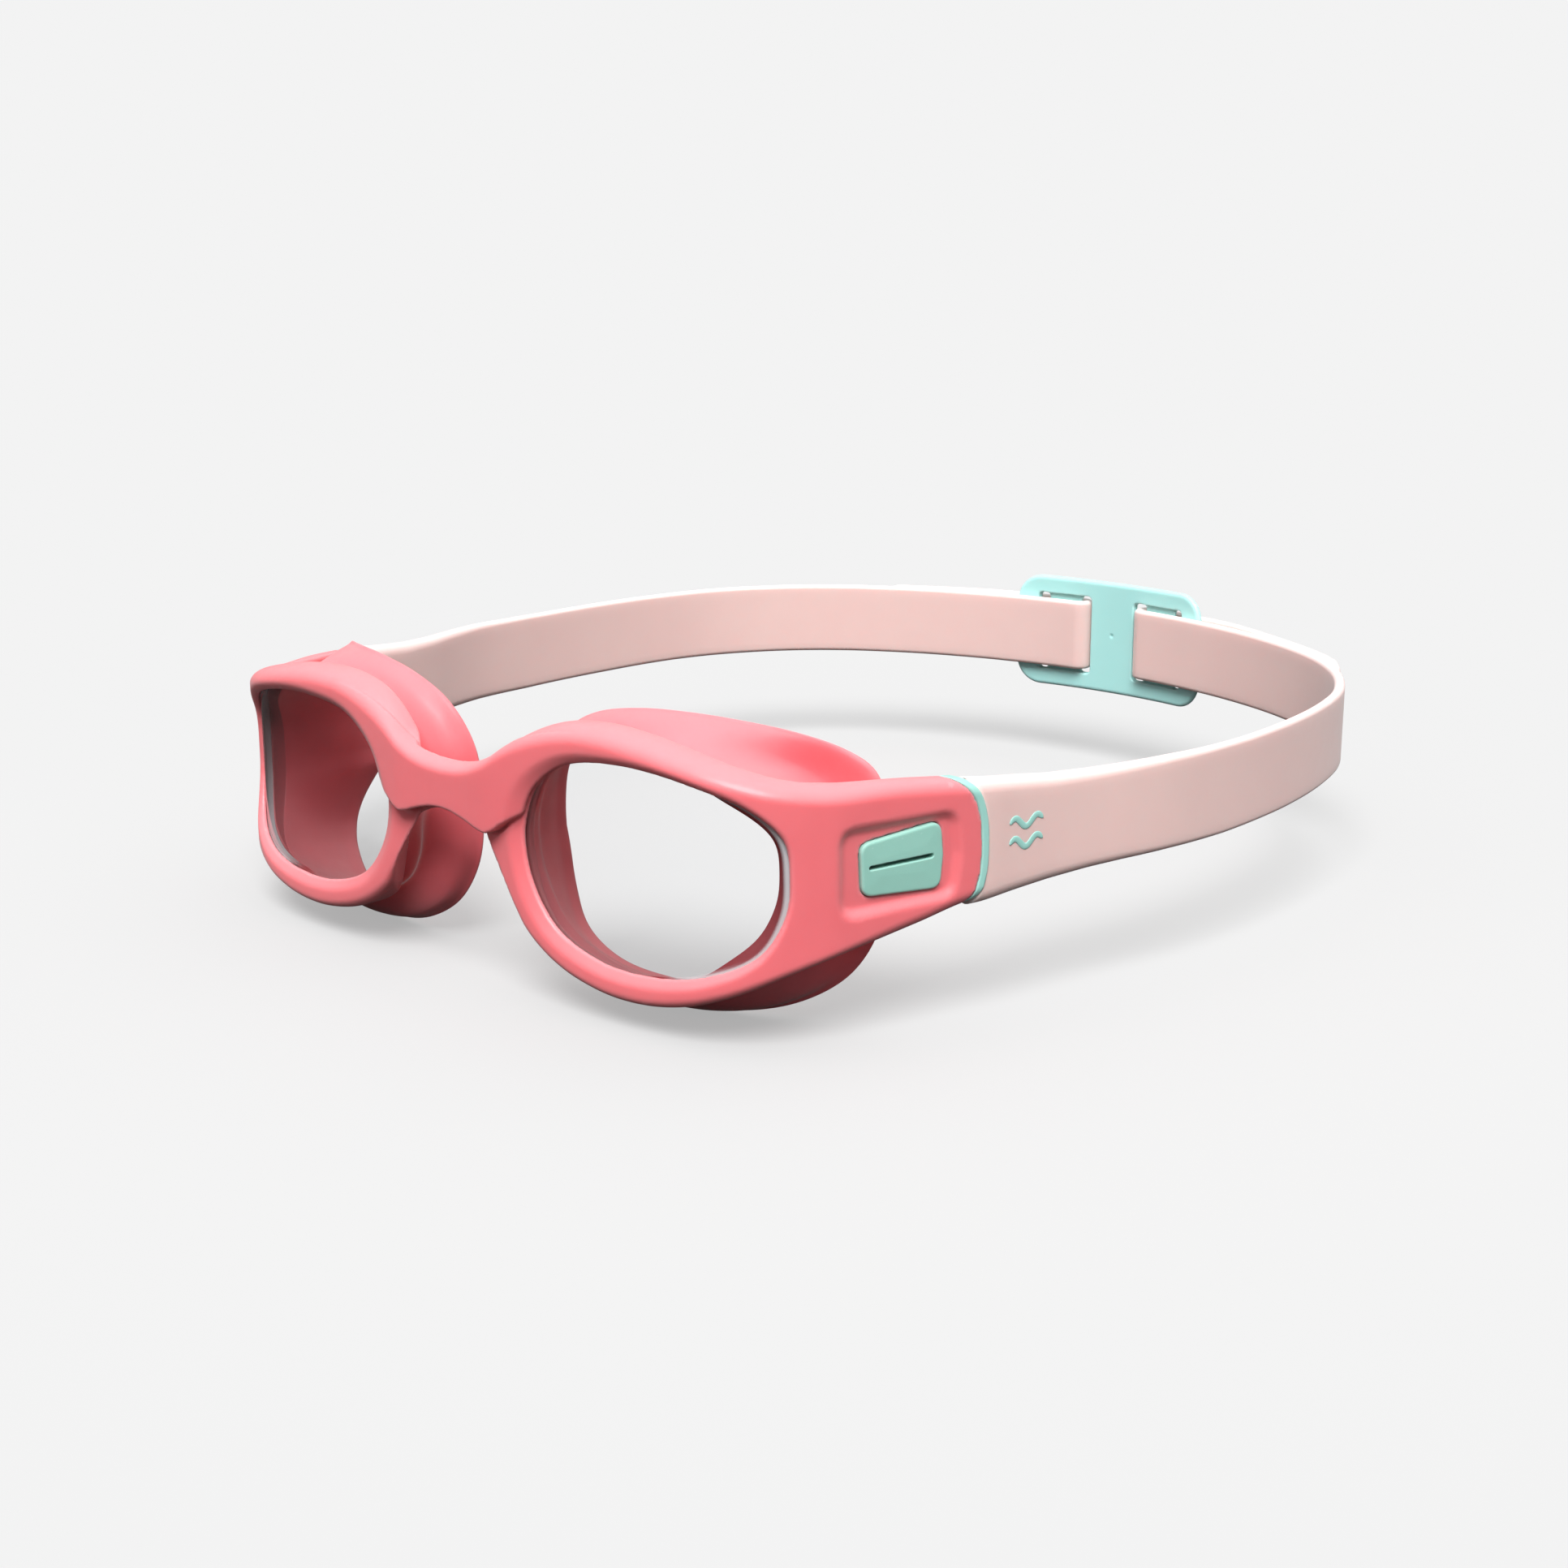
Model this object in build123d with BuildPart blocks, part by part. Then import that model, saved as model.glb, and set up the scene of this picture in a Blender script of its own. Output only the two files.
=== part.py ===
from build123d import *
import math
import os

os.makedirs("parts", exist_ok=True)

# Swim goggles with a two-part head band and a ladder buckle, in millimetres.
# Drawing frame: x = 0 is the plane of symmetry, +X is the wearer's left, the lenses look along -Y,
# +Z is up, z = 0 is the mid-height of the head band, y = 0 is just behind the bridge.
# The finished pieces are moved once at the end, so that the origin of the exported files is the
# centre of the underside of the whole object's box.
# Left pieces are modelled and mirrored to the right.

# ------------------------------------------------------------------ driving dimensions
rim_gap = 0.05                # running gap between seated pieces
box_mid_y = 90.985            # middle of the whole object from front to back
box_low_z = -28.41            # underside of the eye seals

# temple
temple_dir = (0.3527, 0.9357)                   # its direction in plan, rearwards
temple_normal = (temple_dir[1], -temple_dir[0])  # its outward normal in plan
temple_origin = (71.40, 23.0, -0.7)             # centre of the pad window, on the outer face
temple_t = 4.3
pivot_y, pivot_z = 22.4, -0.7  # axis the band tips about, parallel to X
collar_r_in = 13.65           # the temple ends on this radius about the axis
collar_r_out = 14.90          # the clip's collar ends here and the band starts

# lens and skirt
lens_t = 1.8
seat_clearance = 0.03         # between the lens front and its seat
bevel = 1.4                   # chamfer round each lens opening
skirt_wall = 1.25
ring_count = 32               # points on each closed contour

# clip and release pad; depths are below the temple's outer face
dish_depth = 0.8
window_depth = 2.0
tongue_depth = 1.6            # outer face of the tongue
tongue_t = 1.7
tongue_h = 14.0
pad_depth = 0.35              # outer face of the pad
pad_t = 1.2
pad_gap = 0.2                 # round the pad
pad_hole_r = 1.5              # corners of the hole the pad sits in
pad_travel = 1.0              # how far the pad presses in
well_spare = 0.15             # well depth beyond the pad's travel

# band and buckle
strap_h = 15.0
strap_t = 1.9
rear_mid_y = 182.45           # mid-line of the inner band layer at x = 0
rear_bend = 200.0             # y falls by x * x / rear_bend at the back
layer_gap = 3.95              # mid-line distance of the two band layers at the buckle
buckle_w, buckle_h, buckle_t = 46.5, 24.2, 1.7
buckle_corner_r = 5.5
post_half = 5.5               # half width of the centre post
bar_x0, bar_x1 = 8.3, 16.0    # inner and outer side of each ladder bar
slot_x1 = 18.2                # outer side of the outer slots
slot_half_h = 8.4

# ------------------------------------------------------------------ plan curves (x, y)
# front face of a rim, from the nose outwards
rim_front = [
    (7.45, -2.62), (10.0, -3.0), (14.0, -3.35), (20.0, -3.45), (30.0, -3.2), (38.0, -2.8),
    (46.0, -2.0), (52.0, -0.8), (57.0, 1.2), (61.0, 3.9), (64.0, 7.2), (66.0, 10.2), (67.70, 13.2),
]
# rear face of a rim, from the temple inwards
rim_rear = [
    (63.68, 14.72), (61.2, 10.4), (57.0, 7.0), (52.0, 4.9), (46.0, 3.9), (38.0, 3.3), (30.0, 3.0),
    (20.0, 2.3), (14.0, 1.3), (10.0, 0.3), (7.45, -0.35),
]
# front and rear face of the raised brow and bridge layer, left half
brow_front = [
    (0.0, -5.0), (6.0, -4.9), (11.0, -4.6), (16.0, -4.25), (20.0, -4.0), (24.0, -3.7),
    (28.0, -3.15), (31.5, -2.5),
]
brow_rear = [(7.4, -2.3), (29.0, -2.1), (31.5, -2.5)]
# front face of the lens
lens_front = [
    (13.5, -1.45), (20.0, -1.55), (30.0, -1.45), (38.0, -1.05), (46.0, -0.2), (52.0, 1.1),
    (57.0, 3.2), (61.0, 5.9), (65.0, 9.8),
]
# rear end of the temple, outer and inner corner
temple_end = (77.62, 39.5)
temple_end_in = tuple(e - n * temple_t for e, n in zip(temple_end, temple_normal))

# ------------------------------------------------------------------ front view curves (x, z)
outline_top = [
    (0.0, 8.2), (4.0, 8.45), (7.3, 9.2), (10.2, 10.5), (13.2, 12.5), (16.5, 14.5), (20.5, 16.3),
    (26.0, 17.6), (31.0, 18.0), (36.0, 17.9), (42.0, 17.3), (48.0, 16.3), (53.0, 15.3),
    (58.0, 14.2), (63.0, 13.0), (68.0, 11.95), (72.0, 11.3), (76.0, 10.4), (79.0, 9.7),
]
outline_low = [
    (79.0, -7.4), (75.3, -9.2), (72.8, -11.0), (70.0, -12.8), (67.0, -14.6), (63.5, -16.6),
    (59.6, -18.7), (56.0, -20.3), (50.0, -22.3), (43.0, -23.6), (36.0, -23.8), (30.0, -23.0),
    (25.0, -21.6), (20.5, -19.4), (17.0, -16.4), (15.0, -13.5), (13.0, -10.3), (10.9, -7.1),
    (9.0, -4.3), (7.6, -1.5),
]
# lens opening, counter-clockwise from the temple side
opening = [
    (63.5, -1.0), (62.6, 4.9), (58.3, 9.1), (49.0, 11.9), (36.5, 12.9), (25.5, 11.1), (19.5, 6.8),
    (17.2, 2.6), (16.3, -1.6), (17.7, -8.3), (23.0, -15.0), (32.4, -18.5), (42.8, -18.6),
    (52.0, -16.5), (59.0, -12.7), (62.6, -7.2),
]
# left half of the brow layer: top edge, bridge underside, and the step down to the lower rim
brow_top = [
    (0.0, 8.2), (4.0, 8.45), (7.3, 9.15), (10.2, 10.4), (13.2, 12.35), (16.5, 14.3),
    (20.5, 16.05), (26.0, 17.3), (30.5, 17.6),
]
bridge_low = [(0.0, 0.4), (3.4, 0.0), (6.0, -0.8), (9.0, -1.95)]
brow_step = [(9.0, -1.95), (11.2, -1.0), (13.9, 0.6), (17.3, 2.3)]

# ------------------------------------------------------------------ temple outlines
# on the temple's own plane: x rearwards along the temple, y up
# the temple in side view, left wide open over the rims
temple_side = [
    (-160.0, -90.0), (-17.0, -90.0), (-17.0, -16.2), (-13.0, -14.7), (-9.0, -13.2), (0.0, -11.2),
    (8.0, -9.3), (14.0, -8.0), (20.0, -6.9), (20.0, 10.7), (14.0, 11.0), (8.0, 11.5), (0.0, 12.1),
    (-9.0, 12.7), (-17.0, 13.6), (-17.0, 90.0), (-160.0, 90.0),
]
pad_outline = [(-6.8, 3.4), (5.9, 5.2), (7.3, 0.0), (6.1, -5.0), (-6.4, -4.4)]
dish_outline = [(-10.6, 6.4), (9.3, 6.4), (9.9, 0.2), (9.1, -6.0), (-10.6, -7.3)]

temple_plane = Plane(origin=temple_origin, x_dir=(*temple_dir, 0), z_dir=(*temple_normal, 0))
plan_plane = Plane.XY.offset(-30)    # below the goggles; sketches here are extruded upwards
plan_height = 60
front_plane = Plane.XZ.offset(20)    # in front of the goggles; extruded rearwards
front_depth = 80
side_plane = Plane.YZ.offset(90)     # outside the left temple; extruded inwards
side_depth = 40


# ------------------------------------------------------------------ helpers
def mirrored(points):
    return [(-x, y) for x, y in points]


def both_sides(half):
    """Points from the far right to the far left, from a left half that starts at x = 0."""
    return mirrored(half[:0:-1]) + half


def moved_back(points, distance):
    """Plan points moved along +Y."""
    return [(x, y + distance) for x, y in points]


def ring(offset):
    """Points of the lens opening pushed outwards by offset(x), evenly spaced along the curve."""
    edge = Edge.make_spline([Vector(x, z, 0) for x, z in opening], periodic=True)
    points = []
    for i in range(ring_count):
        place = edge.position_at(i / ring_count)
        tangent = edge.tangent_at(i / ring_count)
        distance = offset(place.X)
        # the curve runs counter-clockwise, so its outward normal is (tangent.Y, -tangent.X)
        points.append((place.X + tangent.Y * distance, place.Y - tangent.X * distance))
    return points


def seat(x):
    """How far the seat of lens and skirt stands outside the opening: less at the temple side."""
    share = min(max((x - 52.0) / 11.5, 0.0), 1.0)
    return 1.6 - 1.0 * share


def grown(points, distance):
    """Outline with each corner moved out by distance; y stays for corners at mid-height."""
    mid_x = sum(p[0] for p in points) / len(points)
    mid_y = sum(p[1] for p in points) / len(points)
    return [
        (
            x + math.copysign(distance, x - mid_x),
            y + (math.copysign(distance, y - mid_y) if abs(y - mid_y) > 1 else 0),
        )
        for x, y in points
    ]


def behind_radius(radius):
    """Block behind the band's axis and outside a radius about it."""
    with BuildPart() as block:
        with BuildSketch(side_plane):
            with Locations((pivot_y, pivot_z)):
                Circle(60)
                Circle(radius, mode=Mode.SUBTRACT)
            with Locations((pivot_y - 50, pivot_z)):
                Rectangle(100, 140, mode=Mode.SUBTRACT)
        extrude(amount=-side_depth)
    return block.part


# ------------------------------------------------------------------ shared cutting shapes
# everything behind the lens front, inside the seat contour
seat_front = moved_back(lens_front, -seat_clearance)
seat_rear_y = 45.0
with BuildPart() as seat_cut:
    with BuildSketch(plan_plane):
        with BuildLine():
            Spline(*seat_front)
            Polyline(seat_front[-1], (seat_front[-1][0], seat_rear_y),
                     (seat_front[0][0], seat_rear_y), seat_front[0])
        make_face()
    extrude(amount=plan_height)
    with BuildSketch(front_plane):
        with BuildLine():
            Spline(*ring(lambda x: seat(x) + rim_gap), periodic=True)
        make_face()
    extrude(amount=-front_depth, mode=Mode.INTERSECT)

with BuildPart() as opening_cut:
    with BuildSketch(front_plane):
        with BuildLine():
            Spline(*opening, periodic=True)
        make_face()
    extrude(amount=-front_depth)

# left half of the front view
with BuildPart() as front_outline:
    with BuildSketch(front_plane):
        with BuildLine():
            Spline(*outline_top, tangents=[(1, 0), (1, -0.22)])
            Line(outline_top[-1], outline_low[0])
            Spline(*outline_low)
            Polyline(outline_low[-1], bridge_low[0], outline_top[0])
        make_face()
    extrude(amount=-front_depth)

# the temple's top and bottom run square to its own outer face
with BuildPart() as temple_outline:
    with BuildSketch(temple_plane.offset(10)):
        Polygon(*temple_side, align=None)
    extrude(amount=-90)

pad_hole = grown(pad_outline, pad_gap)

with BuildPart() as temple_cuts:
    # shallow dish round the window
    with BuildSketch(temple_plane.offset(2)):
        Polygon(*dish_outline, align=None)
        fillet(vertices(), 2.6)
    extrude(amount=-(2 + dish_depth))
    # window the release pad shows through
    with BuildSketch(temple_plane.offset(1)):
        Polygon(*pad_hole, align=None)
        fillet(vertices(), pad_hole_r)
    extrude(amount=-(1 + window_depth))
    # socket for the clip's tongue, open at the rear
    with BuildSketch(temple_plane.offset(-(tongue_depth - rim_gap))):
        with Locations((4.0, 0.0)):
            Rectangle(27.0, tongue_h + 2 * rim_gap)
    extrude(amount=-(tongue_t + 2 * rim_gap))

temple_rear_cut = behind_radius(collar_r_in)
tongue_rear_cut = behind_radius(collar_r_out)

# ------------------------------------------------------------------ front frame
# left rim and temple
with BuildPart() as half_front:
    with BuildSketch(plan_plane):
        with BuildLine():
            Spline(*rim_front, tangents=[(1.0, -0.12), temple_dir], tangent_scalars=[1, 1])
            Polyline(rim_front[-1], temple_end, temple_end_in, rim_rear[0])
            Spline(*rim_rear, tangents=[(-temple_dir[0], -temple_dir[1]), (-0.92, -0.39)])
            Line(rim_rear[-1], rim_front[0])
        make_face()
    extrude(amount=plan_height)
    add(front_outline.part, mode=Mode.INTERSECT)
    add(temple_outline.part, mode=Mode.INTERSECT)
    # the temple's rear end is round about the band's axis
    add(temple_rear_cut, mode=Mode.SUBTRACT)
    add(opening_cut.part, mode=Mode.SUBTRACT)
    # bevel round the opening, on the front side
    lens_edge = [e for e in edges() if e.length > 100 and e.bounding_box().min.Y < -3.0]
    chamfer(lens_edge, bevel)
    # eased outer edges of the front face: the brow's, then the lower rim's
    for top in (True, False):
        for size in (1.4, 1.0, 0.6):
            outer_edge = [
                e for e in edges()
                if 60 < e.length < 90
                and e.bounding_box().min.Y < -3.0
                and e.bounding_box().max.X > 65
                and (e.center().Z > 0) == top
            ]
            # a chamfer too large for the edge fails, and the next smaller one is used
            try:
                chamfer(outer_edge, size)
                break
            except Exception:
                pass
    add(seat_cut.part, mode=Mode.SUBTRACT)
    add(temple_cuts.part, mode=Mode.SUBTRACT)

# raised layer over the bridge and the upper rims: its lower edge steps down to the lower rims
with BuildPart() as brow:
    with BuildSketch(plan_plane):
        with BuildLine():
            Spline(*both_sides(brow_front))
            Polyline(*(brow_rear[::-1] + mirrored(brow_rear)))
        make_face()
    extrude(amount=plan_height)
    brow_side = [brow_step[-1], (brow_top[-1][0], brow_step[-1][1]), brow_top[-1]]
    with BuildSketch(front_plane):
        with BuildLine():
            Polyline(*brow_side)
            Spline(*both_sides(brow_top)[::-1])
            Polyline(*mirrored(brow_side)[::-1])
            Spline(*mirrored(brow_step)[::-1])
            Spline(*both_sides(bridge_low))
            Spline(*brow_step)
        make_face()
    extrude(amount=-front_depth, mode=Mode.INTERSECT)
    # clear of both lens openings
    for side in (1, -1):
        with BuildSketch(front_plane):
            with BuildLine():
                Spline(*[(side * x, z) for x, z in ring(lambda x: 0.12)], periodic=True)
            make_face()
        extrude(amount=-front_depth, mode=Mode.SUBTRACT)

# the two rims stay apart behind the bridge, where the bridge core sits
with BuildPart() as front_frame:
    add(half_front.part)
    add(mirror(half_front.part, about=Plane.YZ))
    add(brow.part)

# ------------------------------------------------------------------ bridge core
# thin layer behind the bridge
core_half_w = 7.35
core_low = both_sides([(0.0, -0.5), (3.6, -0.95), (core_half_w, -2.3)])
core_top_z = 6.5
core_front_y = -2.25
core_side_y = -0.5            # rear face at both sides
core_mid_y = -0.1             # rear face at x = 0
with BuildPart() as nose_bridge_core:
    with BuildSketch(front_plane):
        with BuildLine():
            Spline(*core_low)
            Polyline(core_low[-1], (core_half_w, core_top_z), (-core_half_w, core_top_z),
                     core_low[0])
        make_face()
    extrude(amount=-40)
    with BuildSketch(Plane.XY.offset(-20)):
        with BuildLine():
            Polyline((-core_half_w, core_side_y), (-core_half_w, core_front_y),
                     (core_half_w, core_front_y), (core_half_w, core_side_y))
            ThreePointArc((core_half_w, core_side_y), (0, core_mid_y),
                          (-core_half_w, core_side_y))
        make_face()
    extrude(amount=40, mode=Mode.INTERSECT)

# ------------------------------------------------------------------ lens
lens_rear = moved_back(lens_front, lens_t)
with BuildPart() as lens:
    with BuildSketch(plan_plane):
        with BuildLine():
            Spline(*lens_front)
            Line(lens_front[-1], lens_rear[-1])
            Spline(*reversed(lens_rear))
            Line(lens_rear[0], lens_front[0])
        make_face()
    extrude(amount=plan_height)
    with BuildSketch(front_plane):
        with BuildLine():
            Spline(*ring(seat), periodic=True)
        make_face()
    extrude(amount=-front_depth, mode=Mode.INTERSECT)

# ------------------------------------------------------------------ skirt
# seal cup: ruled faces between closed space curves
cup_centre = (38.0, -3.5)     # x, z of the cup's centre line
wall_depth = 3.2              # straight part of the wall behind the lens
# outer edge of the face seal (x, y, z), from the temple side and turning with the opening points
lip = [
    (64.5, 26.6, -1.0), (64.7, 27.2, 6.4), (62.7, 27.1, 11.2), (58.4, 25.3, 14.0),
    (52.8, 20.8, 16.5), (46.5, 15.5, 18.3), (39.6, 11.7, 19.2), (30.5, 9.6, 18.9),
    (21.5, 9.2, 17.0), (14.6, 9.9, 13.3), (10.2, 11.0, 7.0), (8.9, 11.7, 0.0), (9.3, 12.1, -7.0),
    (10.5, 11.8, -14.5), (14.0, 10.8, -21.0), (22.0, 10.6, -25.9), (33.0, 12.0, -28.2),
    (44.0, 14.6, -28.1), (54.5, 18.7, -25.5), (61.8, 22.6, -20.3), (64.9, 25.4, -13.5),
    (65.0, 26.1, -7.0),
]


def curve_y(points, x):
    """The y of a plan curve at x, straight between its points and level beyond its ends."""
    for (x0, y0), (x1, y1) in zip(points, points[1:]):
        if x0 <= x <= x1:
            return y0 + (y1 - y0) * (x - x0) / (x1 - x0)
    return points[0][1] if x < points[0][0] else points[-1][1]


def behind_lens(points, distance):
    """Front view points placed at a distance behind the lens's rear face."""
    return [Vector(x, curve_y(lens_front, x) + lens_t + distance, z) for x, z in points]


def between(first, second, share, out=0.0):
    """Ring at a share of the way from first to second, pushed off the cup's centre line by out."""
    result = []
    for start, end in zip(first, second):
        middle = start + (end - start) * share
        dx, dz = middle.X - cup_centre[0], middle.Z - cup_centre[1]
        radius = math.hypot(dx, dz)
        result.append(Vector(middle.X + dx / radius * out, middle.Y, middle.Z + dz / radius * out))
    return result


wall_ring = ring(lambda x: seat(x) - skirt_wall)
lip_edge = Edge.make_spline([Vector(*p) for p in lip], periodic=True)

outer_front = behind_lens(ring(seat), rim_gap)
# the outer wall runs straight back for a length that shrinks away from the centre line
outer_rear = [
    Vector(p.X, p.Y + max(1.2, wall_depth - 0.06 * abs(p.X - cup_centre[0])), p.Z)
    for p in outer_front
]
lip_ring = [lip_edge.position_at(i / ring_count) for i in range(ring_count)]
outer_flare = between(outer_rear, lip_ring, 0.45, out=0.4)
lip_rear = [Vector(p.X, p.Y + 0.9, p.Z) for p in lip_ring]
lip_inner = between(behind_lens(wall_ring, 6.0), lip_rear, 0.42)
inner_rear = behind_lens(wall_ring, rim_gap + wall_depth)
inner_front = behind_lens(wall_ring, rim_gap)

# from the front outside, round the lip, to the front inside
cup_rings = (outer_front, outer_rear, outer_flare, lip_ring, lip_rear, lip_inner, inner_rear,
             inner_front)
loops = [Edge.make_spline(points, periodic=True) for points in cup_rings]
cup_faces = [
    Face.make_surface_from_curves(loop, following)
    for loop, following in zip(loops, loops[1:] + loops[:1])
]
cup = Solid(Shell(cup_faces))
# a negative volume means that the faces point inwards
if cup.volume < 0:
    cup = Solid(Shell([-face for face in cup_faces]))
with BuildPart() as skirt:
    add(cup)

# ------------------------------------------------------------------ strap clip
with BuildPart() as strap_clip:
    # collar, as thick as the temple and with the temple's outline
    with BuildSketch(plan_plane):
        with BuildLine():
            Polyline(rim_front[-1], temple_end, temple_end_in, rim_rear[0], rim_front[-1])
        make_face()
    extrude(amount=plan_height)
    add(front_outline.part, mode=Mode.INTERSECT)
    add(temple_outline.part, mode=Mode.INTERSECT)
    with BuildSketch(side_plane):
        with Locations((pivot_y, pivot_z)):
            Circle(collar_r_out)
            Circle(collar_r_in + rim_gap, mode=Mode.SUBTRACT)
        with Locations((pivot_y - 47, pivot_z)):
            Rectangle(100, 140, mode=Mode.SUBTRACT)
    extrude(amount=-side_depth, mode=Mode.INTERSECT)
    # tongue in the temple's socket, ending with the collar
    with BuildSketch(temple_plane.offset(-tongue_depth)):
        with Locations((2.9, 0.0)):
            Rectangle(24.4, tongue_h)
    extrude(amount=-tongue_t)
    add(tongue_rear_cut, mode=Mode.SUBTRACT)
    # well the release pad sinks into
    with BuildSketch(temple_plane):
        Polygon(*pad_hole, align=None)
        fillet(vertices(), pad_hole_r)
    extrude(amount=-(tongue_depth + pad_travel + well_spare), mode=Mode.SUBTRACT)

# ------------------------------------------------------------------ release pad with its slit
with BuildPart() as release_pad:
    with BuildSketch(temple_plane.offset(-pad_depth)):
        Polygon(*pad_outline, align=None)
        fillet(vertices(), 1.4)
    extrude(amount=-pad_t)
    # the pad keeps its sharp edge if the chamfer fails
    try:
        chamfer(faces().sort_by(Axis((0, 0, 0), (*temple_normal, 0)))[-1].edges(), 0.25)
    except Exception:
        pass
    with BuildSketch(temple_plane):
        with Locations(Location((0.05, 0.05, 0), (0, 0, 3.1))):
            SlotOverall(11.0, 0.65)
    extrude(amount=-2.0, mode=Mode.SUBTRACT)


# ------------------------------------------------------------------ head band
def rear_y(x):
    """Mid-line of the inner band layer at the back of the head."""
    return rear_mid_y - x * x / rear_bend


# mid-line of the inner layer in plan (x, y), from the collar to the buckle
run = [
    (74.9, 35.6), (75.7, 38.5), (76.55, 43.6), (78.1, 51.2), (80.0, 59.4), (82.1, 67.6),
    (83.75, 76.5), (84.6, 87.2), (84.75, 99.9), (84.1, 112.0), (82.3, 125.0), (79.0, 137.6),
    (75.4, 145.5), (70.8, 152.8), (65.1, 159.3), (58.6, 164.8), (51.6, 169.2), (44.3, 172.9),
    (36.9, 175.85), (29.6, 178.2),
] + [(x, rear_y(x)) for x in (24.0, 18.0, 13.0, 8.6)]

# side view (y, z): the band narrows behind the collar to its even height
band_top = [
    (26.0, 11.9), (31.0, 10.8), (37.5, 8.85), (43.0, 8.45), (51.0, 7.85), (59.0, 7.6),
    (66.0, strap_h / 2),
]
band_low = [
    (66.0, -strap_h / 2), (59.0, -7.6), (51.0, -7.8), (43.0, -8.2), (37.5, -8.6), (31.0, -10.9),
    (26.0, -12.9),
]
band_rear_y = 190.0           # behind the whole band


def normals(points):
    """Unit normals of a plan polyline, to the left of the direction of travel."""
    result = []
    for i in range(len(points)):
        before, after = points[max(i - 1, 0)], points[min(i + 1, len(points) - 1)]
        dx, dy = after[0] - before[0], after[1] - before[1]
        length = math.hypot(dx, dy)
        result.append((-dy / length, dx / length))
    return result


def shifted(points, distance):
    """Plan polyline shifted to the left of its direction of travel."""
    return [(x + nx * distance, y + ny * distance)
            for (x, y), (nx, ny) in zip(points, normals(points))]


def tail_beyond_buckle(last_x):
    """Outer layer beyond the buckle: eases in to lie close to the run, ends near x = last_x."""
    beyond = run[-5::-1]
    points = []
    for i, ((x, y), (nx, ny)) in enumerate(zip(beyond, normals(beyond))):
        if x > last_x:
            break
        gap = max(strap_t + 0.15, layer_gap - 0.15 - 0.75 * i)
        points.append((x + nx * gap, y + ny * gap))
    return points


def band(last_x):
    """One band: inner run, fold round the ladder bar and outer tail, in its side view outline."""
    half_t = strap_t / 2
    run_out, run_in = shifted(run, -half_t), shifted(run, half_t)
    # the tail travels back from the fold, so its left is the outside of the loop
    tail = shifted(run, -layer_gap)[:-5:-1] + tail_beyond_buckle(last_x)
    tail_out, tail_in = shifted(tail, half_t), shifted(tail, -half_t)

    def fold_tip(start, end, radius):
        return ((start[0] + end[0]) / 2 - radius, (start[1] + end[1]) / 2)

    outer_tip = fold_tip(run_in[-1], tail_out[0], layer_gap / 2 + half_t)
    inner_tip = fold_tip(run_out[-1], tail_in[0], layer_gap / 2 - half_t)
    with BuildPart() as made:
        with BuildSketch(Plane.XY.offset(-14)):
            with BuildLine():
                Spline(*run_in)
                ThreePointArc(run_in[-1], outer_tip, tail_out[0])
                Spline(*tail_out)
                Line(tail_out[-1], tail_in[-1])
                Spline(*reversed(tail_in))
                ThreePointArc(tail_in[0], inner_tip, run_out[-1])
                Spline(*reversed(run_out))
                Line(run_out[0], run_in[0])
            make_face()
        extrude(amount=28)
        with BuildSketch(side_plane):
            with BuildLine():
                Spline(*band_top)
                Polyline(band_top[-1], (band_rear_y, strap_h / 2), (band_rear_y, -strap_h / 2),
                         band_low[0])
                Spline(*band_low)
                Line(band_low[-1], band_top[0])
            make_face()
            with Locations((pivot_y, pivot_z)):
                Circle(collar_r_out + rim_gap, mode=Mode.SUBTRACT)
        extrude(amount=-89, mode=Mode.INTERSECT)
    return made.part


# the left band has the longer tail
strap_left = band(last_x=66.0)
strap_right = mirror(band(last_x=52.0), about=Plane.YZ)

# ------------------------------------------------------------------ ladder buckle
# mid-line of the plate, halfway between the band's two layers
plate_mid = [(x, rear_y(x) + layer_gap / 2) for x in (-26, -20, -13, -6.5, 0, 6.5, 13, 20, 26)]
plate_front = moved_back(plate_mid, -buckle_t / 2)
plate_rear = moved_back(plate_mid, buckle_t / 2)
buckle_plane = Plane.XZ.offset(-150)  # in front of the buckle; extruded rearwards
with BuildPart() as buckle:
    with BuildSketch(Plane.XY.offset(-20)):
        with BuildLine():
            Spline(*plate_front)
            Line(plate_front[-1], plate_rear[-1])
            Spline(*reversed(plate_rear))
            Line(plate_rear[0], plate_front[0])
        make_face()
    extrude(amount=40)
    with BuildSketch(buckle_plane):
        RectangleRounded(buckle_w, buckle_h, buckle_corner_r)
    extrude(amount=-50, mode=Mode.INTERSECT)
    # rounded rim: top and bottom edges, side edges, then corners;
    # the rim stays sharp if the fillet fails
    try:
        rim_edges = edges().filter_by(
            lambda e: abs(e.center().Z) > 11.5
            or abs(e.center().X) > 21
            or (abs(e.center().X) > 17 and abs(e.center().Z) > 8)
        )
        fillet(rim_edges, 0.6)
    except Exception:
        pass
    # slots on both sides of each ladder bar
    with BuildSketch(buckle_plane):
        for side in (-1, 1):
            for x0, x1 in ((post_half, bar_x0), (bar_x1, slot_x1)):
                with Locations((side * (x0 + x1) / 2, 0)):
                    Rectangle(x1 - x0, 2 * slot_half_h)
    extrude(amount=-50, mode=Mode.SUBTRACT)

# ------------------------------------------------------------------ write the pieces
pieces = {
    "front_frame": front_frame.part,
    "nose_bridge_core": nose_bridge_core.part,
    "strap_left": strap_left,
    "strap_right": strap_right,
    "buckle": buckle.part,
}
paired = {
    "lens": lens.part,
    "skirt": skirt.part,
    "strap_clip": strap_clip.part,
    "release_pad": release_pad.part,
}
for name, part in paired.items():
    pieces[f"{name}_left"] = part
    pieces[f"{name}_right"] = mirror(part, about=Plane.YZ)

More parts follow.
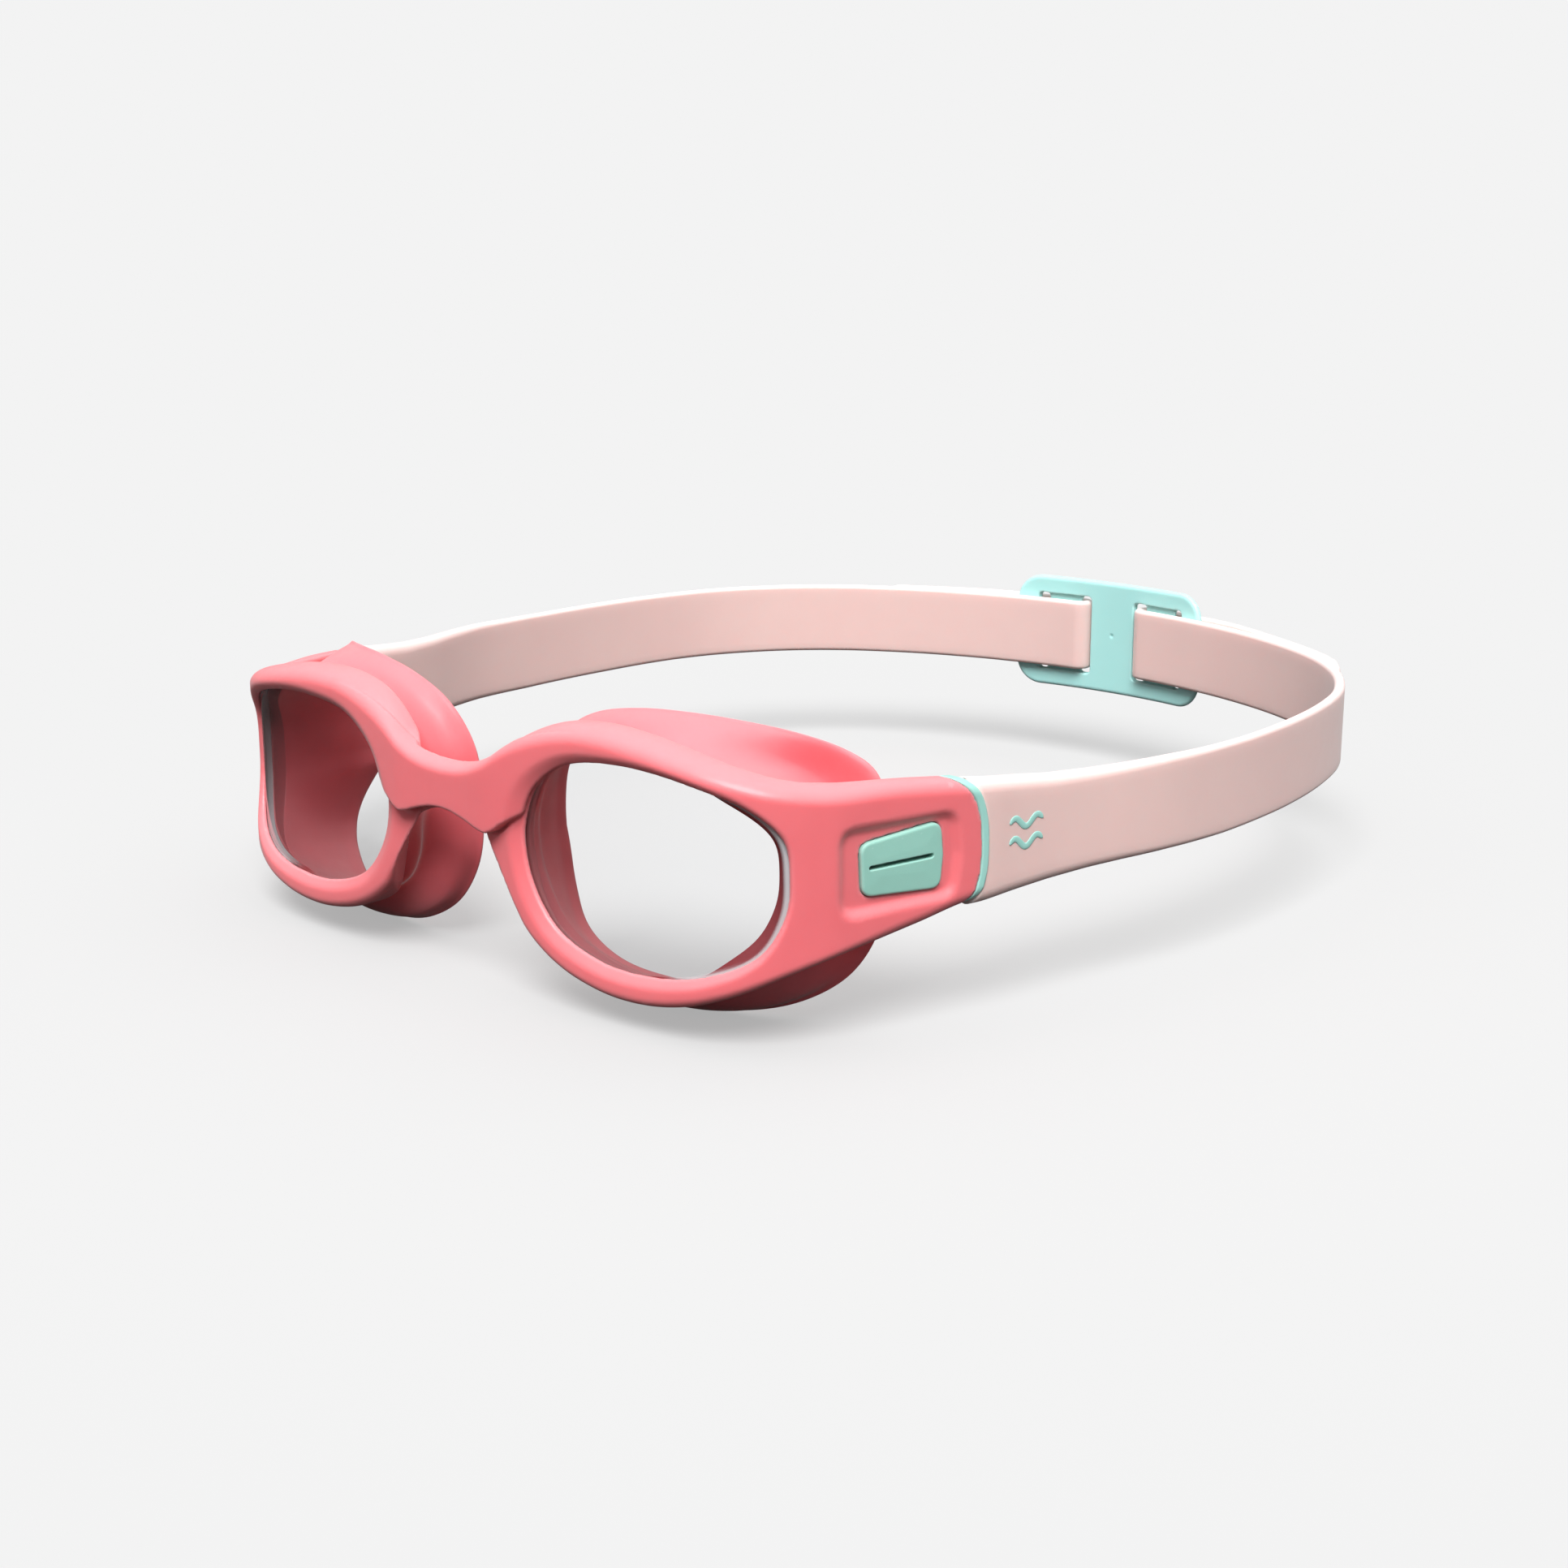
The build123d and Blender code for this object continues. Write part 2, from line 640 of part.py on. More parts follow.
to_origin = Location((0, -box_mid_y, -box_low_z))
for name, part in pieces.items():
    placed = part.moved(to_origin)
    placed.label = name
    export_step(placed, f"parts/{name}.step")
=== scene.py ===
"""Swim goggles with soft eye cups, clipped head band and ladder buckle.

Shapes are drawn in millimetres: x = 0 is the plane of symmetry and +x the wearer's left, y runs
from the bridge (y = 0 just behind it) back to the buckle, z is up with z = 0 at mid-height of the
band. Meshes are moved so that ORIGIN is the world's origin, and scaled to metres.
"""
import math

import bpy
import numpy as np
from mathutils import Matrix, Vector


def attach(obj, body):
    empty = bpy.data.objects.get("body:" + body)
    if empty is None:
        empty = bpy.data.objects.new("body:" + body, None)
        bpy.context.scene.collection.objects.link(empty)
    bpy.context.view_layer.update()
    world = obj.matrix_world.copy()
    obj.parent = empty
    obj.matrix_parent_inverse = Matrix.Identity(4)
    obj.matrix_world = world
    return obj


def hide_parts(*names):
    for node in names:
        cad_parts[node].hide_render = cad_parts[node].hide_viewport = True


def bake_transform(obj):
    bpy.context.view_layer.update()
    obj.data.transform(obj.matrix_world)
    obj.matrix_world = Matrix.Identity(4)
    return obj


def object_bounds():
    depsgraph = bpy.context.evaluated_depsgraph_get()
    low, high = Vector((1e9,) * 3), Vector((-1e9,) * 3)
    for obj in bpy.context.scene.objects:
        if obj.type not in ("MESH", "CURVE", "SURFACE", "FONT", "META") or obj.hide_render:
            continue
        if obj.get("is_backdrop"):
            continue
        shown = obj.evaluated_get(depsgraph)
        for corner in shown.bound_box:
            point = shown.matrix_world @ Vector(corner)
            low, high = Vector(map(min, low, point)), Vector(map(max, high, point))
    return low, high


MM = 0.001
ORIGIN = np.array([0.0, 90.985, -28.41])
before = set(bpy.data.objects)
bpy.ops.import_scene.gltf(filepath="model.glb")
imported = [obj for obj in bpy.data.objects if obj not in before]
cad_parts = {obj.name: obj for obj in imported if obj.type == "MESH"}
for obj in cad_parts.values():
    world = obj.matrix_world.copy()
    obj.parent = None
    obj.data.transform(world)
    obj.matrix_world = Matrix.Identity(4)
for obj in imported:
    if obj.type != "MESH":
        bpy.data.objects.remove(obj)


def plain(value):
    """Turns arrays and vectors into lists that json can write."""
    if hasattr(value, "tolist"):
        return plain(value.tolist())
    if isinstance(value, (list, tuple, Vector)):
        return [plain(item) for item in value]
    if isinstance(value, dict):
        return {str(key): plain(item) for key, item in value.items()}
    return float(value) if isinstance(value, (int, float)) else value


size_before = plain(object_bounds())

# ---------------------------------------------------------------- driving dimensions
TEMPLE_DIR = np.array([0.3527, 0.9357])     # plan direction (x, y) of the temple, backwards
TEMPLE_OUT = np.array([TEMPLE_DIR[1], -TEMPLE_DIR[0]])
TEMPLE_AT = np.array([71.40, 23.0])         # plan origin of the temple's own coordinates
TEMPLE_Z = -0.7
ARC_Y = 22.4                                # centre of the arc that ends the temple
COLLAR_IN, COLLAR_OUT = 13.65, 14.90        # radii of the clip's collar about that centre
SLOT_DEPTH = 2.45                           # mid-plane of slot and tongue below the temple face
EYE_X, EYE_Z = 38.0, -4.0                   # centre of the polar rings of lens and cup
BEVEL_DEPTH = 1.15
LENS_THICK = 1.8
BAND_THICK = 1.9

# Plan (x, y) of the front face, from the bridge to the end of the temple
RIM_FRONT = [
    (0.0, -2.3), (4.0, -2.35), (7.2, -2.6), (10.0, -3.0), (14.0, -3.35), (20.0, -3.45),
    (30.0, -3.2), (38.0, -2.8), (46.0, -2.0), (52.0, -0.8), (57.0, 1.2), (61.0, 3.9), (64.0, 7.2),
    (66.0, 10.2), (67.70, 13.2), (71.4, 23.0), (74.1, 30.15), (76.68, 37.0), (79.0, 43.2)]
# Plan (x, y) of the rim's rear face
RIM_REAR = [
    (7.45, -0.35), (10.0, 0.3), (14.0, 1.3), (20.0, 2.3), (30.0, 3.0), (38.0, 3.3), (46.0, 3.9),
    (52.0, 4.9), (57.0, 7.0), (61.2, 10.4), (63.68, 14.72)]
# Plan (x, y) of the lens's front face
LENS_FRONT = [
    (10.0, -1.35), (13.5, -1.45), (20.0, -1.55), (30.0, -1.45), (38.0, -1.05), (46.0, -0.2),
    (52.0, 1.1), (57.0, 3.2), (61.0, 5.9), (65.0, 9.8), (67.0, 12.3)]
# Outline (x, z) of the front: upper edge outwards, lower edge back to the nose
OUTLINE_TOP = [
    (0.0, 8.2), (4.0, 8.45), (7.3, 9.2), (10.2, 10.5), (13.2, 12.5), (16.5, 14.5), (20.5, 16.3),
    (26.0, 17.6), (31.0, 18.0), (36.0, 17.9), (42.0, 17.3), (48.0, 16.3), (53.0, 15.3),
    (58.0, 14.2), (63.0, 13.0), (68.0, 11.95), (72.0, 11.3), (76.0, 10.4), (79.0, 9.7)]
OUTLINE_LOW = [
    (79.0, -7.4), (75.3, -9.2), (72.8, -11.0), (70.0, -12.8), (67.0, -14.6), (63.5, -16.6),
    (59.6, -18.7), (56.0, -20.3), (50.0, -22.3), (43.0, -23.6), (36.0, -23.8), (30.0, -23.0),
    (25.0, -21.6), (20.5, -19.4), (17.0, -16.4), (15.0, -13.5), (13.0, -10.3), (10.9, -7.1),
    (9.0, -4.3), (7.2, -1.5)]
# Lens opening (x, z)
OPENING = [
    (62.7, -1.2), (61.9, 4.9), (58.0, 9.0), (49.0, 11.9), (36.5, 12.9), (25.5, 11.1), (19.5, 6.8),
    (17.2, 2.6), (16.3, -1.6), (17.7, -8.3), (23.0, -15.0), (32.4, -18.5), (42.8, -18.9),
    (52.6, -17.1), (59.5, -13.3), (62.2, -7.6)]
# Lip of the eye cup (x, y, z)
LIP = [
    (64.5, 26.6, -1.0), (64.7, 27.2, 6.4), (62.7, 27.1, 11.2), (58.4, 25.3, 14.0),
    (52.8, 20.8, 16.5), (46.5, 15.5, 18.3), (39.6, 11.7, 19.2), (30.5, 9.6, 18.9),
    (21.5, 9.2, 17.0), (14.6, 9.9, 13.3), (10.2, 11.0, 7.0), (8.9, 11.7, 0.0), (9.3, 12.1, -7.0),
    (10.5, 11.8, -14.5), (14.0, 10.8, -21.0), (22.0, 10.6, -25.9), (33.0, 12.0, -28.2),
    (44.0, 14.6, -28.1), (54.5, 18.7, -25.5), (61.8, 22.6, -20.3), (64.9, 25.4, -13.5),
    (65.0, 26.1, -7.0)]
# Lower edge (x, z) of the raised brow layer: up to its pointed tip, then away from the nose
BROW_TO_TIP = [(-12.0, 0.62), (0.0, 0.62), (2.5, 0.38), (4.9, -0.15), (7.0, -0.78), (9.0, -1.42),
               (10.6, -1.78)]
BROW_FROM_TIP = [(10.6, -1.78), (12.0, -1.1), (13.7, 0.15), (15.4, 1.3), (17.4, 2.45), (20.0, 4.0)]
BROW_CLOSE = [(20.0, 6.0), (26.0, 6.0), (60.0, 6.0), (60.0, 40.0), (-12.0, 40.0)]
# How far the brow layer stands proud: x, height
BROW_PROUD = ([0, 4, 7.2, 10.7, 14, 16, 20, 24, 28, 31, 34],
              [3.0, 2.95, 2.7, 2.15, 1.5, 1.15, 0.65, 0.33, 0.05, -0.3, -1.5])
# Side of the rim next to the nose (z, x)
NOSE_SIDE = np.array([
    (-30.0, 30.0), (-23.0, 30.0), (-21.6, 25.0), (-19.4, 20.5), (-16.4, 17.0), (-13.5, 15.0),
    (-10.3, 13.0), (-7.1, 10.9), (-4.3, 9.0), (-1.5, 7.2), (0.0, 7.1), (30.0, 7.1)])
NOSE_X = 7.1                                # inner limit of the rim
# Lower edge of the bridge core: x, z
CORE_LOW = ([0, 2.5, 4.9, 7.0, 9.0, 10.6], [-0.1, -0.35, -0.9, -1.6, -2.5, -3.6])
# Press pad and the dish round it (along, up) in the temple's own coordinates
PAD = [(-6.9, 3.5), (6.9, 5.5), (7.35, 0.2), (6.9, -5.0), (-6.5, -4.6)]
PAD_CORNER = 1.9
DISH = [(-11.2, 6.6), (10.0, 7.4), (10.7, 0.2), (9.8, -7.0), (-11.0, -7.9)]
DISH_CORNER = 3.6
# Rolled outer edge: (width in the face, depth behind it) by zone
ROLL_LOW, ROLL_TOP, ROLL_TEMPLE = (1.7, 2.0), (2.9, 4.6), (2.3, 2.4)
ROLL_NOSE_LOW, ROLL_NOSE_TOP = (0.55, 0.45), (2.0, 2.5)


# ---------------------------------------------------------------- curves and blends
def catmull(points, per_span, closed=False):
    """Centripetal Catmull-Rom curve, sampled per_span times on each span."""
    P = np.array(points, float)
    count = len(P)
    out = []
    for i in range(count if closed else count - 1):
        if closed:
            p0, p1, p2, p3 = P[(i - 1) % count], P[i], P[(i + 1) % count], P[(i + 2) % count]
        else:
            p1, p2 = P[i], P[i + 1]
            p0 = P[i - 1] if i > 0 else 2 * p1 - p2
            p3 = P[i + 2] if i + 2 < count else 2 * p2 - p1
        t0 = 0.0
        t1 = t0 + max(np.linalg.norm(p1 - p0), 1e-9) ** 0.5
        t2 = t1 + max(np.linalg.norm(p2 - p1), 1e-9) ** 0.5
        t3 = t2 + max(np.linalg.norm(p3 - p2), 1e-9) ** 0.5
        t = np.linspace(t1, t2, per_span, endpoint=False)[:, None]

        def between(first, last, start, end):
            return (end - t) / (end - start) * first + (t - start) / (end - start) * last

        middle = between(p1, p2, t1, t2)
        before = between(between(p0, p1, t0, t1), middle, t0, t2)
        after = between(middle, between(p2, p3, t2, t3), t1, t3)
        out.append(between(before, after, t1, t2))
    curve = np.vstack(out)
    return curve if closed else np.vstack([curve, P[-1:]])


def arc_lengths(path):
    return np.r_[0, np.cumsum(np.linalg.norm(np.diff(path, axis=0), axis=1))]


def resample(path, count, closed=False):
    full = np.vstack([path, path[:1]]) if closed else path
    s = arc_lengths(full)
    t = np.linspace(0, s[-1], count, endpoint=not closed)
    return np.stack([np.interp(t, s, full[:, k]) for k in range(full.shape[1])], 1)


def smooth_step(start, end, x):
    t = np.clip((x - start) / (end - start), 0, 1)
    return t * t * (3 - 2 * t)


def smooth_min(a, b, blend):
    h = np.clip(0.5 + 0.5 * (b - a) / blend, 0, 1)
    return b + (a - b) * h - blend * h * (1 - h)


def smooth_max(a, b, blend):
    return -smooth_min(-a, -b, blend)


def round_corners(points, radius, steps=8):
    """Polygon with its corners rounded."""
    P = np.array(points, float)
    out = []
    for i in range(len(P)):
        a, b, c = P[i - 1], P[i], P[(i + 1) % len(P)]
        u, v = a - b, c - b
        u, v = u / np.linalg.norm(u), v / np.linalg.norm(v)
        angle = math.acos(float(np.clip(u @ v, -1, 1)))
        reach = min(radius / math.tan(angle / 2), 0.45 * np.linalg.norm(a - b),
                    0.45 * np.linalg.norm(c - b))
        start, end = b + u * reach, b + v * reach
        for k in range(steps + 1):
            t = k / steps
            out.append((1 - t) ** 2 * start + 2 * t * (1 - t) * b + t * t * end)
    return np.array(out)


# ---------------------------------------------------------------- distances
def poly_distance(points, polygon, chunk=20000):
    """Signed distance in the plane to a closed polygon: negative inside."""
    A = np.asarray(polygon, float)
    B = np.roll(A, -1, axis=0)
    D = B - A
    length2 = (D ** 2).sum(1)
    length2[length2 == 0] = 1e-12
    out = np.empty(len(points))
    for i in range(0, len(points), chunk):
        p = points[i:i + chunk][:, None, :]
        v = p - A[None]
        t = np.clip((v * D[None]).sum(2) / length2[None], 0, 1)
        dist2 = ((v - t[..., None] * D[None]) ** 2).sum(2).min(1)
        rising = (A[None, :, 1] <= p[..., 1]) & (B[None, :, 1] > p[..., 1])
        falling = (A[None, :, 1] > p[..., 1]) & (B[None, :, 1] <= p[..., 1])
        cross = D[None, :, 0] * (p[..., 1] - A[None, :, 1]) - D[None, :, 1] * (p[..., 0] - A[None, :, 0])
        winding = (rising & (cross > 0)).sum(1) - (falling & (cross < 0)).sum(1)
        out[i:i + chunk] = np.sqrt(dist2) * np.where(winding != 0, -1, 1)
    return out


class Grid:
    """A function of two numbers kept on a grid and read back bilinearly."""

    def __init__(self, x_range, y_range, step, func):
        self.x0, self.y0, self.step = x_range[0], y_range[0], step
        self.nx = int(round((x_range[1] - x_range[0]) / step)) + 1
        self.ny = int(round((y_range[1] - y_range[0]) / step)) + 1
        X, Y = np.meshgrid(self.x0 + step * np.arange(self.nx),
                           self.y0 + step * np.arange(self.ny), indexing="ij")
        values = func(np.stack([X.ravel(), Y.ravel()], 1))
        values = values if isinstance(values, tuple) else (values,)
        self.values = [a.reshape(self.nx, self.ny) for a in values]

    def __call__(self, x, y):
        fx = np.clip((x - self.x0) / self.step, 0, self.nx - 1.001)
        fy = np.clip((y - self.y0) / self.step, 0, self.ny - 1.001)
        i, j = fx.astype(int), fy.astype(int)
        u, v = fx - i, fy - j
        out = [(a[i, j] * (1 - u) + a[i + 1, j] * u) * (1 - v)
               + (a[i, j + 1] * (1 - u) + a[i + 1, j + 1] * u) * v for a in self.values]
        return out if len(out) > 1 else out[0]


def polygon_grid(x_range, y_range, step, polygon):
    return Grid(x_range, y_range, step, lambda p: poly_distance(p, polygon))


def rounded(u, v, across, deep):
    """Two half spaces u < 0 and v < 0 joined by an elliptic roll."""
    U, V = (u + across) / across, (v + deep) / deep
    roll = np.hypot(np.maximum(U, 0), np.maximum(V, 0)) - 1
    flat = np.maximum(U, V) - 1
    return np.where((U > 0) | (V > 0), roll, flat) * np.minimum(across, deep)


def round_rect(x, z, half_x, half_z, radius):
    qx, qz = np.abs(x) - half_x + radius, np.abs(z) - half_z + radius
    outside = np.hypot(np.maximum(qx, 0), np.maximum(qz, 0))
    return outside + np.minimum(np.maximum(qx, qz), 0) - radius


# ---------------------------------------------------------------- meshes
def surface_nets(func, lo, hi, step):
    """Quads of the zero surface of func (negative inside), with the vertices pulled onto it."""
    lo, hi = np.array(lo, float), np.array(hi, float)
    n = np.ceil((hi - lo) / step).astype(int) + 1
    axes = [lo[k] + step * np.arange(n[k]) for k in range(3)]
    field = np.empty(n, np.float32)
    Y, Z = np.meshgrid(axes[1], axes[2], indexing="ij")
    for i, x in enumerate(axes[0]):
        layer = np.stack([np.full(Y.size, x), Y.ravel(), Z.ravel()], 1)
        field[i] = func(layer).reshape(Y.shape)
    inside = field < 0
    corners = np.array([(i, j, k) for i in (0, 1) for j in (0, 1) for k in (0, 1)])
    filled = np.zeros(n - 1, np.int8)
    for i, j, k in corners:
        filled += inside[i:n[0] - 1 + i, j:n[1] - 1 + j, k:n[2] - 1 + k]
    cells = np.argwhere((filled > 0) & (filled < 8))
    index = -np.ones(n - 1, np.int64)
    index[tuple(cells.T)] = np.arange(len(cells))
    # one vertex per cell, at the mean of the crossings on its edges
    total, count = np.zeros((len(cells), 3)), np.zeros(len(cells))
    for a in range(8):
        for b in range(a + 1, 8):
            if np.abs(corners[a] - corners[b]).sum() != 1:
                continue
            ia, ib = cells + corners[a], cells + corners[b]
            va, vb = field[tuple(ia.T)].astype(float), field[tuple(ib.T)].astype(float)
            crossed = (va < 0) != (vb < 0)
            t = np.where(crossed, va / np.where(crossed, va - vb, 1), 0)
            total += np.where(crossed[:, None], ia + (ib - ia) * t[:, None], 0)
            count += crossed
    P = lo + step * (total / count[:, None])
    # one quad per crossed grid edge
    quads = []
    for axis in range(3):
        o1, o2 = (axis + 1) % 3, (axis + 2) % 3
        near, far = [slice(None)] * 3, [slice(None)] * 3
        near[axis], far[axis] = slice(0, n[axis] - 1), slice(1, n[axis])
        e = np.argwhere(inside[tuple(near)] != inside[tuple(far)])
        e = e[(e[:, o1] > 0) & (e[:, o2] > 0) & (e[:, o1] < n[o1] - 1) & (e[:, o2] < n[o2] - 1)]
        d1, d2 = np.zeros(3, int), np.zeros(3, int)
        d1[o1], d2[o2] = 1, 1
        quad = np.stack([index[tuple(c.T)] for c in (e - d1 - d2, e - d2, e, e - d1)], 1)
        flip = ~inside[tuple(e.T)]
        quad[flip] = quad[flip][:, ::-1]
        quads.append(quad)
    # three Newton steps along the gradient
    eps = 0.02
    for _ in range(3):
        value = func(P)
        G = np.stack([(func(P + d) - func(P - d)) / (2 * eps) for d in np.eye(3) * eps], 1)
        slope2 = (G ** 2).sum(1)
        move = -G * (value / np.maximum(slope2, 0.05))[:, None]
        length = np.linalg.norm(move, axis=1)
        move *= np.minimum(1, 0.6 * step / np.maximum(length, 1e-9))[:, None]
        P = P + move
    return P, np.vstack(quads)


def add_mesh(name, points, faces, material):
    """Smooth-shaded object from points in metres."""
    mesh = bpy.data.meshes.new(name)
    mesh.from_pydata(points, [], faces)
    mesh.validate()
    mesh.update()
    mesh.polygons.foreach_set("use_smooth", [True] * len(mesh.polygons))
    mesh.materials.append(material)
    piece = bpy.data.objects.new(name, mesh)
    bpy.context.scene.collection.objects.link(piece)
    return piece


def add_piece(name, shape, material):
    """Object from a (points, faces) shape drawn in millimetres."""
    points, faces = shape
    return add_mesh(name, ((np.asarray(points) - ORIGIN) * MM).tolist(),
                    [tuple(int(i) for i in face) for face in faces], material)


def for_side(side, shape):
    """Shapes are drawn on the left (+x); the right one is mirrored."""
    if side == "left":
        return shape
    points, faces = shape
    return points * np.array([-1.0, 1.0, 1.0]), [tuple(reversed(face)) for face in faces]


def loft_rings(rings, close=False, caps=False):
    """Quads between neighbouring closed rings of equal length."""
    R = np.asarray(rings)
    count, size = R.shape[:2]
    faces = []
    for j in range(count if close else count - 1):
        j2 = (j + 1) % count
        for i in range(size):
            i2 = (i + 1) % size
            faces.append((j * size + i, j * size + i2, j2 * size + i2, j2 * size + i))
    if caps:
        faces.append(tuple(reversed(range(size))))
        faces.append(tuple((count - 1) * size + i for i in range(size)))
    return R.reshape(-1, 3), faces


def outward(points, faces):
    """Turns a closed mesh so that its faces look outwards."""
    volume = 0.0
    for face in faces:
        for k in range(1, len(face) - 1):
            volume += np.dot(points[face[0]], np.cross(points[face[k]], points[face[k + 1]]))
    return points, (faces if volume > 0 else [tuple(reversed(face)) for face in faces])


# ---------------------------------------------------------------- coordinates of the front
PLAN = resample(catmull(RIM_FRONT, 40), 900)
PLAN_S = arc_lengths(PLAN)


def plan_coords(points, chunk=8000):
    """Arc length along the front's plan curve and distance behind it."""
    A = PLAN[:-1]
    D = PLAN[1:] - A
    length2 = (D ** 2).sum(1)
    arc, behind = np.empty(len(points)), np.empty(len(points))
    for i in range(0, len(points), chunk):
        v = points[i:i + chunk][:, None, :] - A[None]
        t = np.clip((v * D[None]).sum(2) / length2[None], 0, 1)
        dist2 = ((v - t[..., None] * D[None]) ** 2).sum(2)
        k = dist2.argmin(1)
        rows = np.arange(len(k))
        cross = D[k, 0] * v[rows, k, 1] - D[k, 1] * v[rows, k, 0]
        arc[i:i + chunk] = PLAN_S[k] + t[rows, k] * np.sqrt(length2[k])
        behind[i:i + chunk] = np.sqrt(dist2[rows, k]) * np.sign(cross)
    return arc, behind


def unroll(points):
    """(x, z) points turned to (arc length, z); x below 0 is kept."""
    P = np.array(points, float)
    arc = np.interp(np.maximum(P[:, 0], 0), PLAN[:, 0], PLAN_S)
    return np.stack([np.where(P[:, 0] < 0, P[:, 0], arc), P[:, 1]], 1)


# outline closed across the nose behind the bridge
outline_poly = np.vstack([unroll(catmull(OUTLINE_TOP, 16)), unroll(catmull(OUTLINE_LOW, 16)),
                          [(0.0, -1.0)], [(-12.0, -1.0)], [(-12.0, 8.2)]])
brow_poly = np.vstack([catmull(BROW_TO_TIP, 10)[:-1], catmull(BROW_FROM_TIP, 10), BROW_CLOSE])
opening_ring = resample(catmull(OPENING, 24, closed=True), 300, closed=True)

ARC_RANGE, Z_RANGE = (-1.0, 112.0), (-34.0, 28.0)
plan_at = Grid((-1.0, 82.0), (-9.0, 46.0), 0.25, plan_coords)
outline_at = polygon_grid(ARC_RANGE, Z_RANGE, 0.25, outline_poly)
brow_at = polygon_grid(ARC_RANGE, Z_RANGE, 0.25, unroll(brow_poly))
opening_at = polygon_grid((-1.0, 88.0), Z_RANGE, 0.25, opening_ring)
pad_at = polygon_grid((-20, 24), (-16, 16), 0.2, round_corners(PAD, PAD_CORNER))
dish_at = polygon_grid((-20, 24), (-16, 16), 0.2, round_corners(DISH, DISH_CORNER))

rear_arc, rear_depth = plan_coords(catmull(RIM_REAR, 10))
by_arc = np.argsort(rear_arc)
REAR_ARC = np.r_[0.0, rear_arc[by_arc], 90.0]
REAR_DEPTH = np.r_[2.0, rear_depth[by_arc], 4.3]
LENS_CURVE = catmull(LENS_FRONT, 12)


def lens_y(x):
    return np.interp(x, LENS_CURVE[:, 0], LENS_CURVE[:, 1])


def seat(x):
    """Width of the lens seat round the opening, narrower by the temple."""
    return 1.6 - 1.0 * np.clip((x - 52.0) / 11.5, 0, 1)


def roll_sizes(arc, x, z):
    """Width and depth of the rolled outer edge: large on the brow, small at the nose and below."""
    top = smooth_step(-2.0, 3.0, z)
    temple = smooth_step(70.0, 86.0, arc)
    nose = 1 - smooth_step(12.0, 22.0, x)
    sizes = []
    for k in (0, 1):
        size = ROLL_LOW[k] + (ROLL_TOP[k] - ROLL_LOW[k]) * top
        size = size + (ROLL_TEMPLE[k] - size) * temple
        size = size + (ROLL_NOSE_LOW[k] - size) * nose * (1 - top)
        sizes.append(size + (ROLL_NOSE_TOP[k] - size) * nose * top)
    return sizes


def temple_local(x, y, z):
    """The temple's own coordinates: along it, up, and out of its face."""
    dx, dy = x - TEMPLE_AT[0], y - TEMPLE_AT[1]
    return (dx * TEMPLE_DIR[0] + dy * TEMPLE_DIR[1], z - TEMPLE_Z,
            dx * TEMPLE_OUT[0] + dy * TEMPLE_OUT[1])


def temple_world(along, up, out):
    return np.stack([TEMPLE_AT[0] + TEMPLE_DIR[0] * along + TEMPLE_OUT[0] * out,
                     TEMPLE_AT[1] + TEMPLE_DIR[1] * along + TEMPLE_OUT[1] * out,
                     TEMPLE_Z + up], -1)


def slot_box(along, up, out, middle, half_length, half_height, half_thick):
    sides = np.maximum(np.abs(along - middle) - half_length, np.abs(up) - half_height)
    return np.maximum(sides, np.abs(out + SLOT_DEPTH) - half_thick)


def arc_power(z):
    """The temple's end is an arc, fuller towards its two corners."""
    return np.where(z > TEMPLE_Z, 2.75, 2.3)


def arc_radius(y, z):
    power = arc_power(z)
    return (np.maximum(y - ARC_Y, 0) ** power + np.abs(z - TEMPLE_Z) ** power) ** (1 / power)


def arc_y(z, radius):
    power = arc_power(z)
    return ARC_Y + np.maximum(radius ** power - np.abs(z - TEMPLE_Z) ** power, 1.0) ** (1 / power)


# ---------------------------------------------------------------- front moulding
def bevelled_opening(opening, width, behind):
    """Outside of the opening, with a bevel as wide as given at the face."""
    slope = np.sqrt(1 + (width / BEVEL_DEPTH) ** 2)
    cone = (width * (1 - behind / BEVEL_DEPTH) - opening) / slope
    return smooth_max(-opening, cone, blend=0.3)


def bevel_width(x, z):
    """Bevel widths towards nose and temple, below and above, blended by direction."""
    dx, dz = x - EYE_X, z - EYE_Z
    dist2 = np.maximum(dx * dx + dz * dz, 1e-6)
    return (dx * dx / dist2 * np.where(dx < 0, 2.2, 1.0)
            + dz * dz / dist2 * np.where(dz < 0, 1.5, 1.2))


def rim_body(x, z, arc, behind, outline, roll):
    """Rims and temples before the opening is cut."""
    groove_depth, groove_at, groove_width = 0.5, 0.16, 0.42     # along the brow layer's edge
    edge = (brow_at(arc, z) - groove_at) / groove_width
    groove = groove_depth * np.exp(-edge ** 2) * (1 - smooth_step(22.0, 30.0, x))
    rim = rounded(outline, -(behind - groove), *roll)
    rim = smooth_max(rim, behind - np.interp(arc, REAR_ARC, REAR_DEPTH), blend=0.9)
    # thin wedge towards the nose, pushed out of reach elsewhere
    nose = 1 - smooth_step(13.0, 24.0, x)
    wedge_start, wedge_run, wedge_scale, out_of_reach = 0.12, 1.15, 1.33, 6.0
    from_nose = x - np.interp(z, *NOSE_SIDE.T)
    wedge = (behind - wedge_start - from_nose / wedge_run) / wedge_scale
    rim = smooth_max(rim, wedge - out_of_reach * (1 - nose), blend=0.35)
    return smooth_max(rim, NOSE_X - x, blend=0.15)


def brow_body(x, z, arc, behind, outline, roll, proud):
    """Raised brow and bridge layer before the opening is cut."""
    width, depth = roll
    layer = rounded(outline, -(behind + proud), width, depth + 0.4 * np.maximum(proud, 0))
    layer = smooth_max(layer, brow_at(arc, z), blend=0.26)
    return smooth_max(layer, behind - smooth_step(7.4, 9.0, x), blend=0.3)


